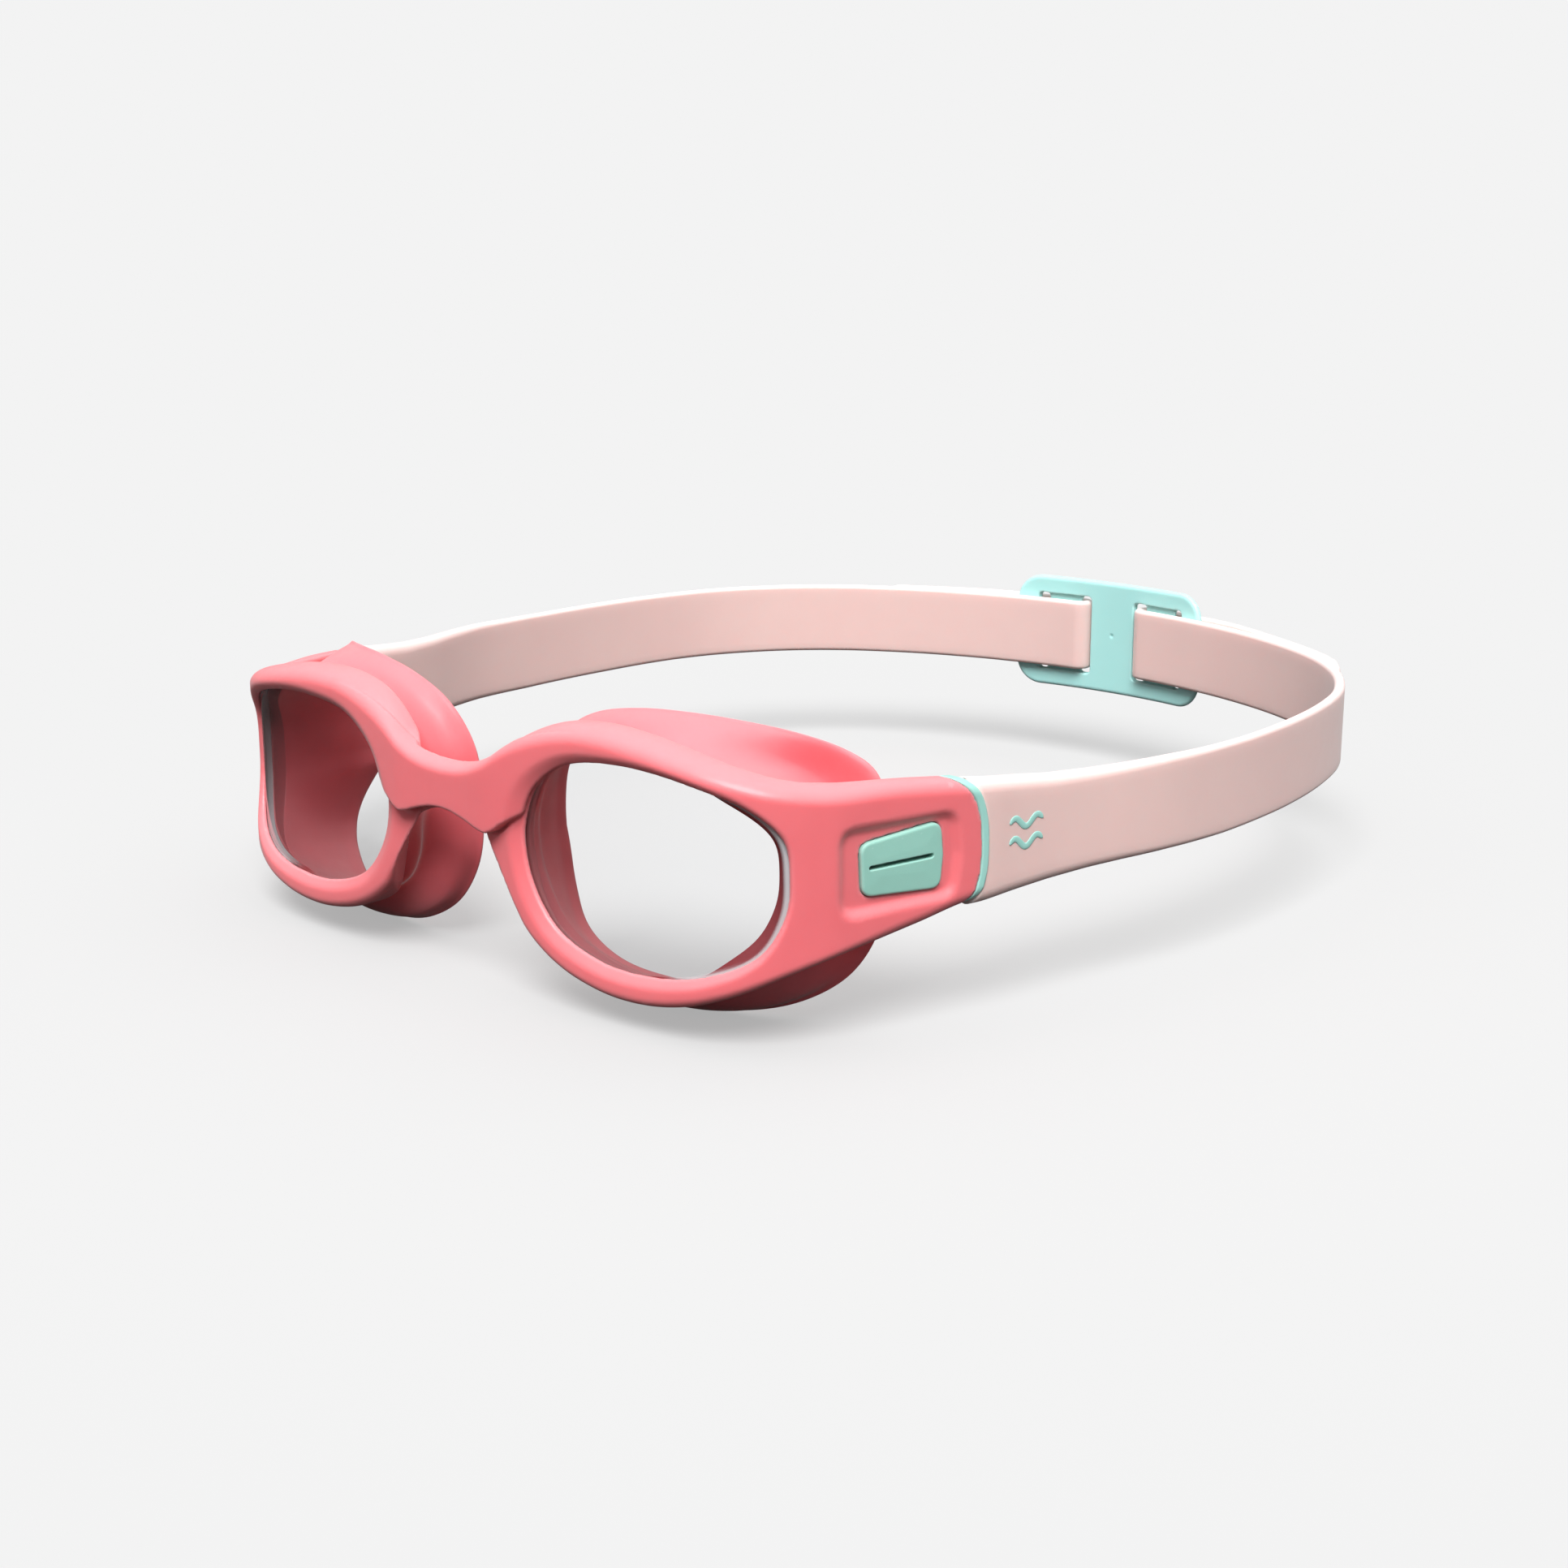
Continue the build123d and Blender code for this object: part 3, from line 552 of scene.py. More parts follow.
def cut_temple(solid, x, y, z):
    """Soft dish, window for the pad, slot for the tongue and the arc at the end."""
    along, up, out = temple_local(x, y, z)
    dish = dish_at(along, up)
    near = (along > -14) & (along < 14) & (out > -6)
    sink = 0.95 * smooth_step(-0.1, 1.9, -dish)
    dished = smooth_max(solid, (out + sink) * 0.9, blend=0.15)
    solid = np.where(near & (dish < 0.05), dished, solid)
    gap, depth = 0.12, 3.0
    window = np.maximum(pad_at(along, up) - gap, -(out + depth))
    solid = np.where(near, smooth_max(solid, -window, blend=0.12), solid)
    slot = slot_box(along, up, out, middle=4.0, half_length=13.5, half_height=7.05,
                    half_thick=0.9)
    solid = np.maximum(solid, -slot)
    end = np.where(y > ARC_Y, arc_radius(y, z) - COLLAR_IN,
                   np.minimum(np.abs(z - TEMPLE_Z) - COLLAR_IN, -0.5))
    return smooth_max(solid, end, blend=0.15)


def frame_sdf(points):
    x, y, z = np.abs(points[:, 0]), points[:, 1], points[:, 2]
    arc, behind = plan_at(x, y)
    outline, opening = outline_at(arc, z), opening_at(x, z)
    roll = roll_sizes(arc, x, z)
    proud = np.interp(x, *BROW_PROUD)
    rim = rim_body(x, z, arc, behind, outline, roll)
    layer = brow_body(x, z, arc, behind, outline, roll, proud)
    # the opening is cut in the rim and in the raised layer, each from its own face
    width = bevel_width(x, z)
    rim = smooth_max(rim, bevelled_opening(opening, width, behind), blend=0.35)
    raised = behind + np.maximum(proud, 0.0)
    layer = smooth_max(layer, bevelled_opening(opening, width, raised), blend=0.35)
    solid = smooth_min(rim, layer, blend=0.02 + 0.10 * (1 - smooth_step(20.0, 32.0, x)))
    # seat of lens and cup behind the opening
    side_gap, front_gap = 0.08, 0.1
    pocket = np.maximum(opening - seat(x) - side_gap, lens_y(x) - front_gap - y)
    solid = smooth_max(solid, -pocket, blend=0.2)
    return cut_temple(solid, x, y, z)


def core_sdf(points):
    """Block behind the raised bridge."""
    x, y, z = np.abs(points[:, 0]), points[:, 1], points[:, 2]
    front, top, half_width = -2.24, 6.6, 9.6
    back = -0.1 - 0.4 * (x / 7.35) ** 2
    core = smooth_max(np.interp(x, *CORE_LOW) - z, y - back, blend=0.5)
    core = smooth_max(core, front - y, blend=0.2)
    core = smooth_max(core, z - top, blend=0.4)
    return smooth_max(core, x - half_width, blend=0.3)


# ---------------------------------------------------------------- clip and press pad
def clip_sdf(points):
    """Collar round the temple's end, with a tongue that lies in the temple's slot."""
    x, y, z = points[:, 0], points[:, 1], points[:, 2]
    arc, behind = plan_at(x, y)
    radius = arc_radius(y, z)
    thick, gap_in, gap_out, start = 4.2, 0.06, 0.03, 3.0
    collar = rounded(outline_at(arc, z), -behind, *roll_sizes(arc, x, z))
    collar = smooth_max(collar, behind - thick, blend=0.6)
    collar = smooth_max(collar, radius - (COLLAR_OUT - gap_out), blend=0.25)
    collar = smooth_max(collar, (COLLAR_IN + gap_in) - radius, blend=0.2)
    collar = np.maximum(collar, ARC_Y + start - y)
    along, up, out = temple_local(x, y, z)
    tongue = slot_box(along, up, out, middle=2.9, half_length=12.2, half_height=6.95,
                      half_thick=0.83)
    tongue = np.maximum(tongue, np.where(y > ARC_Y, radius - COLLAR_OUT + 0.1, -1.0))
    # shallow well in the tongue under the pad
    well_gap, well_floor = 0.22, 2.75
    well = np.maximum(pad_at(along, up) - well_gap, -(out + well_floor))
    return np.maximum(np.minimum(collar, tongue), -well)


def pad_sdf(points):
    """Pad with a slightly turned slit, in the temple's own coordinates."""
    along, up, out = points[:, 0], points[:, 1], points[:, 2]
    face_sunk, crown, back = 0.35, 0.10, 1.55
    edge = pad_at(along, up)
    face = out + face_sunk - crown * np.clip(-edge / 3.0, 0, 1)
    body = smooth_max(rounded(edge, face, 0.45, 0.34), -(out + back), blend=0.12)
    turn, centre, half_length = math.radians(3.1), 0.05, 5.5
    dx, dy = along - centre, up - centre
    across = dx * math.cos(turn) + dy * math.sin(turn)
    rise = -dx * math.sin(turn) + dy * math.cos(turn)
    slit = np.hypot(np.maximum(np.abs(across) - (half_length - 0.325), 0), rise) - 0.34
    return smooth_max(body, -slit, blend=0.14)


# ---------------------------------------------------------------- buckle
REAR_Y = 182.45                     # band's mid-line at x = 0
REAR_CURVE = 200.0                  # buckle and band fall forwards by x * x / REAR_CURVE
LAYER_GAP = 3.95                    # between the band's run and its tail outside it
PLATE_Y = REAR_Y + LAYER_GAP / 2
PLATE_WIDTH, PLATE_HEIGHT, PLATE_THICK, PLATE_CORNER = 46.5, 24.2, 1.7, 5.6
# from x = 0 outwards: post, window, bar, window
POST_END, BAR_START, BAR_END, WINDOW_END = 5.5, 8.3, 16.0, 18.2
WINDOW_HALF, WINDOW_CORNER = 8.4, 0.9
BAR_STEP = 0.75                     # bars lie back from the plate's inner face
DIMPLE_Z, DIMPLE_RADIUS, DIMPLE_LIFT = 0.6, 0.5, 0.25


def buckle_sdf(points):
    x, y, z = points[:, 0], points[:, 1], points[:, 2]
    half = PLATE_THICK / 2
    out = y - (PLATE_Y - x * x / REAR_CURVE)

    def window(start, end):
        return round_rect(np.abs(x) - (start + end) / 2, z, (end - start) / 2, WINDOW_HALF,
                          WINDOW_CORNER)

    outline = round_rect(x, z, PLATE_WIDTH / 2, PLATE_HEIGHT / 2, PLATE_CORNER)
    plate = rounded(outline, np.abs(out) - half, 0.9, 0.8)
    windows = np.minimum(window(POST_END, BAR_START), window(BAR_END, WINDOW_END))
    plate = smooth_max(plate, -windows, blend=0.45)
    step = np.maximum(window(POST_END, WINDOW_END), out + half - BAR_STEP)
    plate = smooth_max(plate, -step, blend=0.3)
    # dimple in the middle of the post, on the inner face
    dimple_y = PLATE_Y - half - DIMPLE_LIFT
    dimple = np.sqrt(x * x + (y - dimple_y) ** 2 + (z - DIMPLE_Z) ** 2) - DIMPLE_RADIUS
    return smooth_max(plate, -dimple, blend=0.15)


# ---------------------------------------------------------------- rings about the eye
RING = 264
ANGLE = np.arange(RING) * 2 * math.pi / RING
COS, SIN = np.cos(ANGLE), np.sin(ANGLE)     # +COS is the temple side, +SIN is up
TURN = 2 * math.pi


def on_ring(curve, values=None):
    """Values given on an (x, z) curve, by default its radius, read at the ring's angles."""
    dx, dz = curve[:, 0] - EYE_X, curve[:, 1] - EYE_Z
    angle = np.unwrap(np.arctan2(dz, dx)) % TURN
    order = np.argsort(angle)
    a = angle[order]
    v = (np.hypot(dx, dz) if values is None else values)[order]
    return np.interp(ANGLE, np.r_[a[-1] - TURN, a, a[0] + TURN], np.r_[v[-1], v, v[0]])


def ring_smooth(values, times):
    for _ in range(times):
        values = 0.25 * np.roll(values, 1) + 0.5 * values + 0.25 * np.roll(values, -1)
    return values


OPENING_R = ring_smooth(on_ring(opening_ring), 2)
lip_curve = catmull(LIP, 14, closed=True)
LIP_R = ring_smooth(on_ring(lip_curve[:, [0, 2]]), 3)
LIP_Y = ring_smooth(on_ring(lip_curve[:, [0, 2]], lip_curve[:, 1]), 3)

# ---------------------------------------------------------------- lens
LENS_RINGS = 26
LENS_OVERLAP = 0.36                 # lens edge beyond the opening
LENS_EDGE = (0.25, 0.5, 0.75)       # rings on the edge, as shares of the thickness
LENS_EDGE_ROUND = 0.12


def lens_shape():
    """Curved clear sheet with a lightly rounded edge."""
    front, back = [], []
    for k in range(1, LENS_RINGS + 1):
        r = (OPENING_R + LENS_OVERLAP) * (1 - (1 - k / LENS_RINGS) ** 1.7)
        x, z = EYE_X + r * COS, EYE_Z + r * SIN
        pull = LENS_EDGE_ROUND if k == LENS_RINGS else 0.0
        y = lens_y(x)
        front.append(np.stack([x, y + pull, z], 1))
        back.append(np.stack([x, y + LENS_THICK - pull, z], 1))
    edge = [front[-1] + np.array([0, LENS_THICK * share, 0]) for share in LENS_EDGE]
    rings = front + edge + back[::-1]
    points, faces = loft_rings(rings)
    centre_y = lens_y(EYE_X)
    points = np.vstack([points, [[EYE_X, centre_y, EYE_Z]],
                        [[EYE_X, centre_y + LENS_THICK, EYE_Z]]])
    front_mid, back_mid = len(points) - 2, len(points) - 1
    last = (len(rings) - 1) * RING
    for i in range(RING):
        j = (i + 1) % RING
        faces.append((front_mid, j, i))
        faces.append((back_mid, last + i, last + j))
    return outward(points, faces)


def add_painted_lens_glint(lens, points):
    """Attribute that is 1 where a painted grey glint goes: the sheet's edge and a crescent on its front
    face, on the temple side.
    """
    values = np.zeros(len(points), np.float32)
    front_end = LENS_RINGS * RING
    # painted glint: grey crescent on the front face by the temple
    face = points[:front_end].reshape(LENS_RINGS, RING, 3)
    r = np.hypot(face[..., 0] - EYE_X, face[..., 2] - EYE_Z)
    wide = 0.5 * smooth_step(0.45, 0.92, np.cos(ANGLE + 0.12))
    crescent = smooth_step(-0.12, 0.12, r - (OPENING_R - wide)) * smooth_step(0.0, 0.3, wide)
    values[:front_end] = crescent.ravel()
    # painted glint on the edge rings, on the temple side
    edge_end = front_end + len(LENS_EDGE) * RING
    values[front_end:edge_end] = np.tile(smooth_step(0.3, 0.7, COS), len(LENS_EDGE))
    lens.data.attributes.new("edge", "FLOAT", "POINT").data.foreach_set("value", values)


# ---------------------------------------------------------------- eye cup
def cup_shape():
    """Soft cup: seat ring behind the lens, convex wall, rolled face seal and the inner wall."""
    to_temple = np.maximum(COS, 0)
    temple = smooth_step(0.25, 0.8, COS)
    # 1 where the ring lies behind the lens, 0 where it lies round it
    under_lens = ring_smooth(smooth_step(-0.05, 0.36, COS), 6)
    lens = ring_smooth(lens_y(EYE_X + OPENING_R * COS), 4)
    back = lens + LENS_THICK + 0.04
    seat_y = (lens + 0.18) + (back - lens - 0.18) * under_lens
    inner_r = OPENING_R + 0.46 - 4.0 * smooth_step(0.52, 1.0, np.cos(ANGLE - 0.08))
    inner_r = ring_smooth(inner_r, 14)
    # width of the face seal: base, temple side, above and below, extra at the temple
    low_temple = smooth_step(0.1, 0.5, -SIN) * smooth_step(0.0, 0.4, COS)
    seal = (1.3 + 6.6 * to_temple ** 1.3 * (1 - 0.8 * smooth_step(0.15, 0.6, -SIN))
            + 2.3 * np.abs(SIN) * (1 - 0.5 * low_temple))
    seal = seal + 2.6 * smooth_step(0.7, 1.0, COS)
    seal_r = LIP_R - seal
    seal_y = LIP_Y + 0.5 + 1.1 * to_temple
    seat_r = OPENING_R + seat(EYE_X + OPENING_R * COS)
    # outer wall: convex at the nose, above and below; a hollow neck at the temple side
    neck_r, neck_y = seal_r + 1.9, LIP_Y - 3.6
    bulge_r, bulge_y = LIP_R - 1.3, LIP_Y - 0.42 * (LIP_Y - back - 2.5)
    # section stations (radius, y): inner wall from the seat, lip, outer wall, seat
    stations = [(inner_r + k * (seal_r - 0.25 - inner_r),
                 seat_y + k * (seal_y - 1.3 - seat_y) + 0.25 * math.sin(math.pi * k))
                for k in (0.0, 0.12, 0.35, 0.62, 0.86)]
    stations += [
        (seal_r - 0.12, seal_y + 0.05),
        ((seal_r + LIP_R) / 2, (seal_y + LIP_Y) / 2 + 0.45),
        (LIP_R - 0.45, LIP_Y + 0.5),
        (LIP_R, LIP_Y - 0.05),
        (LIP_R - 0.3 - 0.25 * temple, LIP_Y - 0.75),
        (bulge_r + (neck_r - bulge_r) * temple, bulge_y + (neck_y - bulge_y) * temple),
        (seat_r + 0.55, back + 2.7),
        (seat_r - 0.05, back + 1.2),
        (seat_r - 0.12, np.maximum(seat_y + 0.1, lens + 0.35)),
        (seat_r - 0.3, seat_y),
        (inner_r + 0.2, seat_y - 0.02)]
    rings = []
    for i, section in enumerate(np.array(stations).transpose(2, 0, 1)):
        r, y = catmull(section, 8, closed=True).T
        rings.append(np.stack([EYE_X + r * COS[i], y, EYE_Z + r * SIN[i]], 1))
    return outward(*loft_rings(rings, close=True))


# ---------------------------------------------------------------- band
# Plan (x, y) of the band's mid-line, from the clip to the buckle
RUN = [
    (74.9, 35.6), (75.7, 38.5), (76.55, 43.6), (78.1, 51.2), (80.0, 59.4), (82.1, 67.6),
    (83.75, 76.5), (84.6, 87.2), (84.75, 99.9), (84.1, 112.0), (82.3, 125.0), (79.0, 137.6),
    (75.4, 145.5), (70.8, 152.8), (65.1, 159.3), (58.6, 164.8), (51.6, 169.2), (44.3, 172.9),
    (36.9, 175.85), (29.6, 178.2)]
RUN += [(x, REAR_Y - x * x / REAR_CURVE) for x in (24.0, 18.0, 13.0, 8.6)]
# Upper and lower edge of the band: y, z
BAND_TOP = ([26, 31, 34, 37.5, 43, 51, 59, 66, 76, 84, 96, 400],
            [10.7, 10.7, 10.6, 10.2, 9.6, 8.7, 8.3, 8.2, 8.1, 7.8, 7.55, 7.5])
BAND_LOW = ([26, 31, 37.5, 43, 51, 59, 66, 76, 90, 112, 130, 400],
            [-9.6, -9.6, -9.4, -8.95, -8.3, -7.85, -7.62, -7.6, -7.85, -7.75, -7.5, -7.5])
BAND_HALF_HEIGHT = 7.5
ROOT_GROWTH = 2.1                   # extra thickness on the inner side at the clip
EDGE_ROUND, ROOT_EDGE_ROUND = 0.88, 1.5
TAIL_CORNER, TAIL_ROUND = 3.2, 0.7
EDGE_STEPS, FACE_STEPS = 12, 12


def run_before(distance):
    """Point before the run's start, on the temple's line."""
    return tuple(np.array(RUN[0]) - TEMPLE_DIR * distance)


def plan_normals(path):
    """Normals to the inner side of a path that leads backwards on the left."""
    d = np.gradient(path, axis=0)
    d /= np.linalg.norm(d, axis=1)[:, None]
    return np.stack([-d[:, 1], d[:, 0]], 1)


def chord_directions(P):
    """Unit directions from each point's neighbour before to the one after."""
    last = len(P) - 1
    d = np.array([P[min(i + 1, last)] - P[max(i - 1, 0)] for i in range(len(P))])
    return d / np.linalg.norm(d, axis=1)[:, None]


def band_path(last_x):
    """Plan mid-line: run from the temple, half turn round the bar, tail outside the run."""
    run = catmull([run_before(10.0), run_before(5.0)] + RUN, 24)
    run = resample(run, int(arc_lengths(run)[-1] / 0.8))
    R = np.array(RUN)
    d = chord_directions(R)
    layer = R - np.stack([-d[:, 1], d[:, 0]], 1) * LAYER_GAP
    tail = list(layer[:-5:-1])
    # past the buckle the tail closes on the run
    beyond = np.array(sorted([p for p in RUN if p[0] > 24.5 and p[1] > 130], key=lambda p: -p[1]))
    for i, (p, d) in enumerate(zip(beyond, chord_directions(beyond))):
        if p[0] > last_x:
            break
        gap = max(BAND_THICK + 0.15, LAYER_GAP - 0.15 - 0.75 * i)
        tail.append(np.array([p[0] + abs(d[1]) * gap, p[1] + abs(d[0]) * gap]))
    tail = catmull(tail, 24)
    tail = resample(tail, int(arc_lengths(tail)[-1] / 0.9))
    a, b = run[-1], tail[0]
    centre, radius = (a + b) / 2, np.linalg.norm(b - a) / 2
    axis = (a - centre) / radius
    inwards = np.array([-1.0, 0.0])
    side = inwards - axis * (inwards @ axis)
    side /= np.linalg.norm(side)
    angle = np.linspace(0, math.pi, 22)[1:-1][:, None]
    fold = centre + radius * (np.cos(angle) * axis + np.sin(angle) * side)
    return np.vstack([run, fold, tail])


def band_section():
    """Lines of the section: (share from inner to outer face, zone, value).

    The value is a height off the top or low edge as a share of the rounding, or on a face the
    share of the way down.
    """
    arcs = [math.pi * i / EDGE_STEPS for i in range(EDGE_STEPS + 1)]
    lines = [(0.5 - 0.5 * math.cos(a), "top", math.sin(a) - 1) for a in arcs]
    lines += [(1.0, "face", f) for f in np.linspace(0, 1, FACE_STEPS)[1:-1]]
    lines += [(0.5 + 0.5 * math.cos(a), "low", 1 - math.sin(a)) for a in arcs]
    lines += [(0.0, "face", f) for f in np.linspace(1, 0, FACE_STEPS)[1:-1]]
    return lines


def band_shape(last_x):
    path = band_path(last_x)
    s = arc_lengths(path)
    normal = plan_normals(path)
    half = BAND_THICK / 2
    root = 1 - smooth_step(4.0, 74.0, s)        # 1 at the clip, 0 along the plain band
    inner = half + ROOT_GROWTH * root
    rounding = EDGE_ROUND + ROOT_EDGE_ROUND * root
    first_half = s < s[-1] * 0.5
    top = np.where(first_half, np.interp(path[:, 1], *BAND_TOP), BAND_HALF_HEIGHT)
    low = np.where(first_half, np.interp(path[:, 1], *BAND_LOW), -BAND_HALF_HEIGHT)
    # the tail's end: rounded corners, and faces that close to a thin edge
    to_end = s[-1] - s
    left = TAIL_CORNER - np.clip(to_end, 0, TAIL_CORNER)
    cut = TAIL_CORNER - np.sqrt(np.maximum(TAIL_CORNER ** 2 - left ** 2, 0))
    closing = np.sqrt(np.maximum(0.49 - (TAIL_ROUND - to_end) ** 2, 0.02)) / TAIL_ROUND
    thin = np.where(to_end < TAIL_ROUND, closing, 1.0)
    top, low = top - cut, low + cut
    lines = band_section()
    rings = np.empty((len(path), len(lines), 3))
    clip_end = COLLAR_OUT + 0.05
    for j, (share, zone, value) in enumerate(lines):
        offset = inner + (-half - inner) * share
        if zone == "top":
            z = top + value * thin * rounding
        elif zone == "low":
            z = low + value * thin * rounding
        else:
            z = (top - rounding * thin) * (1 - value) + (low + rounding * thin) * value
        x = path[:, 0] + normal[:, 0] * offset * thin
        y = path[:, 1] + normal[:, 1] * offset * thin
        # each line of the band starts on the round end of the clip
        first = int(np.argmax(y[:40] - arc_y(z[:40], clip_end) >= 0))
        s_start = np.interp(float(arc_y(z[first], clip_end)), y[:60], s[:60])
        s_new = s + s_start * np.clip(1 - s / 26.0, 0, 1)
        for k, values in enumerate((x, y, z)):
            rings[:, j, k] = np.interp(s_new, s, values)
    return outward(*loft_rings(rings, caps=True))


WAVE_START, WAVE_LENGTH, WAVE_STEPS = 41.8, 6.8, 60
WAVE_HEIGHTS = (2.3, -0.9)
WAVE_SWING, WAVE_PERIODS = 0.75, 1.5
WAVE_HALF_WIDTH, WAVE_RAISE, WAVE_LIFT = 0.52, 0.10, 0.02


def waves_shape():
    """Two small raised waves on the outer face of the band, behind the clip."""
    run = catmull([run_before(5.0)] + RUN[:6], 24)
    normal = plan_normals(run)
    points, faces, base = [], [], 0
    wave_y = np.linspace(WAVE_START, WAVE_START + WAVE_LENGTH, WAVE_STEPS)
    position = 2 * (np.arange(WAVE_STEPS) / (WAVE_STEPS - 1.0)) - 1
    half_width = WAVE_HALF_WIDTH * np.sqrt(np.clip(1 - position ** 8, 0.02, 1))
    phase = (wave_y - WAVE_START) / WAVE_LENGTH * 2 * math.pi * WAVE_PERIODS
    for height in WAVE_HEIGHTS:
        wave_z = height + WAVE_SWING * np.sin(phase)
        slope = np.gradient(wave_z, wave_y)
        rings = []
        for i in range(WAVE_STEPS):
            across = np.array([-slope[i], 1.0]) / math.hypot(slope[i], 1.0)
            row = []
            for angle in np.linspace(0, 2 * math.pi, 12, endpoint=False):
                side = half_width[i] * math.cos(angle)
                rise = WAVE_RAISE * math.sin(angle)
                y, z = wave_y[i] + across[0] * side, wave_z[i] + across[1] * side
                x, nx, ny = [np.interp(y, run[:, 1], column)
                             for column in (run[:, 0], normal[:, 0], normal[:, 1])]
                offset = -(BAND_THICK / 2 + WAVE_LIFT + rise)
                row.append((x + nx * offset, y + ny * offset, z))
            rings.append(row)
        wave, wave_faces = outward(*loft_rings(rings, caps=True))
        points.append(wave)
        faces += [tuple(i + base for i in face) for face in wave_faces]
        base += len(wave)
    return np.vstack(points), faces


# ---------------------------------------------------------------- materials
def linear(colour):
    """Linear RGBA from sRGB bytes."""
    return tuple((v / 255) / 12.92 if v / 255 <= 0.04045 else ((v / 255 + 0.055) / 1.055) ** 2.4
                 for v in colour) + (1.0,)


class Nodes:
    """Adds shader nodes to a tree."""

    def __init__(self, tree):
        self.tree = tree

    def add(self, kind, inputs=None, **settings):
        """Input values may be numbers, sockets, or nodes, which link their first output."""
        node = self.tree.nodes.new("ShaderNode" + kind)
        for key, value in settings.items():
            setattr(node, key, value)
        for key, value in (inputs or {}).items():
            self.feed(node.inputs[key], value)
        return node

    def feed(self, socket, value):
        if isinstance(value, bpy.types.Node):
            value = value.outputs[0]
        if isinstance(value, bpy.types.NodeSocket):
            self.tree.links.new(value, socket)
        else:
            socket.default_value = value

    def map_range(self, value, start, end, low=0.0, high=1.0, **settings):
        return self.add("MapRange", {"Value": value, "From Min": start, "From Max": end,
                                     "To Min": low, "To Max": high}, **settings)

    def mix_colour(self, factor, first, second):
        return self.add("MixRGB", {0: factor, 1: first, 2: second}, blend_type="MIX")

    def noise(self, vector, **values):
        inputs = {key.capitalize(): value for key, value in values.items()}
        return self.add("TexNoise", {"Vector": vector, **inputs})


def new_material(name):
    """An empty material, its nodes and its surface socket."""
    material = bpy.data.materials.new(name)
    material.use_nodes = True
    material.node_tree.nodes.clear()
    nodes = Nodes(material.node_tree)
    return material, nodes, nodes.add("OutputMaterial").inputs[0]


def moulded(name, colour, shade, roughness, grain, mottling, soft, edge_highlight, edge=None, sheen=0.15,
            coat=0.0, top_highlight=0.0):
    """Moulded plastic or rubber: fine grain, slow mottling, a painted highlight on edges and on faces
    that look up, painted shade in hollows.
    """
    material, nodes, surface = new_material(name)
    shade = linear(shade)
    pale = linear(edge or tuple(min(255, int(v + (255 - v) * 0.45)) for v in colour))
    place = nodes.add("TexCoord").outputs["Object"]
    slow = nodes.noise(place, scale=38.0, detail=4.0, roughness=0.55)
    fine = nodes.noise(place, scale=2600.0, detail=2.0, roughness=0.6)
    middle = nodes.noise(place, scale=420.0, detail=3.0, roughness=0.5)
    # mottling, then a painted highlight on the edges and painted shade in the hollows, both by the
    # shape's own curvature
    mottle = nodes.map_range(slow, start=0.38, end=0.72, high=mottling * 4)
    tone = nodes.mix_colour(mottle, linear(colour), shade)
    geometry = nodes.add("NewGeometry")
    curvature = geometry.outputs["Pointiness"]
    edge_highlight_mask = nodes.map_range(curvature, start=0.505, end=0.60, high=edge_highlight)
    tone = nodes.mix_colour(edge_highlight_mask, tone, pale)
    hollow = nodes.map_range(curvature, start=0.495, end=0.42, high=0.35)
    tone = nodes.mix_colour(hollow, tone, shade)
    # painted highlight: faces that look up are a little paler, as if lit from above
    normal = nodes.add("SeparateXYZ", {0: geometry.outputs["Normal"]})
    top_highlight_mask = nodes.map_range(normal.outputs["Z"], start=0.15, end=0.85, high=top_highlight)
    tone = nodes.mix_colour(top_highlight_mask, tone, pale)
    # roughness follows the grain
    rough = nodes.map_range(middle, start=0.3, end=0.7, low=roughness - 0.05,
                            high=roughness + 0.08)
    # fine grain over soft flow marks
    height = nodes.add("Math", {0: fine, 1: 0.6, 2: middle}, operation="MULTIPLY_ADD")
    bump = nodes.add("Bump", {"Strength": grain * 4, "Distance": 0.00005, "Height": height})
    nodes.feed(surface, nodes.add("BsdfPrincipled", {
        "Base Color": tone,
        "Roughness": rough,
        "Normal": bump,
        "Subsurface Weight": soft,
        "Subsurface Radius": (0.0022, 0.0010, 0.0009),
        "Subsurface Scale": 1.0,
        "Sheen Weight": sheen,
        "Sheen Roughness": 0.5,
        "Coat Weight": coat,
        "Coat Roughness": 0.25,
        "IOR": 1.45}))
    return material


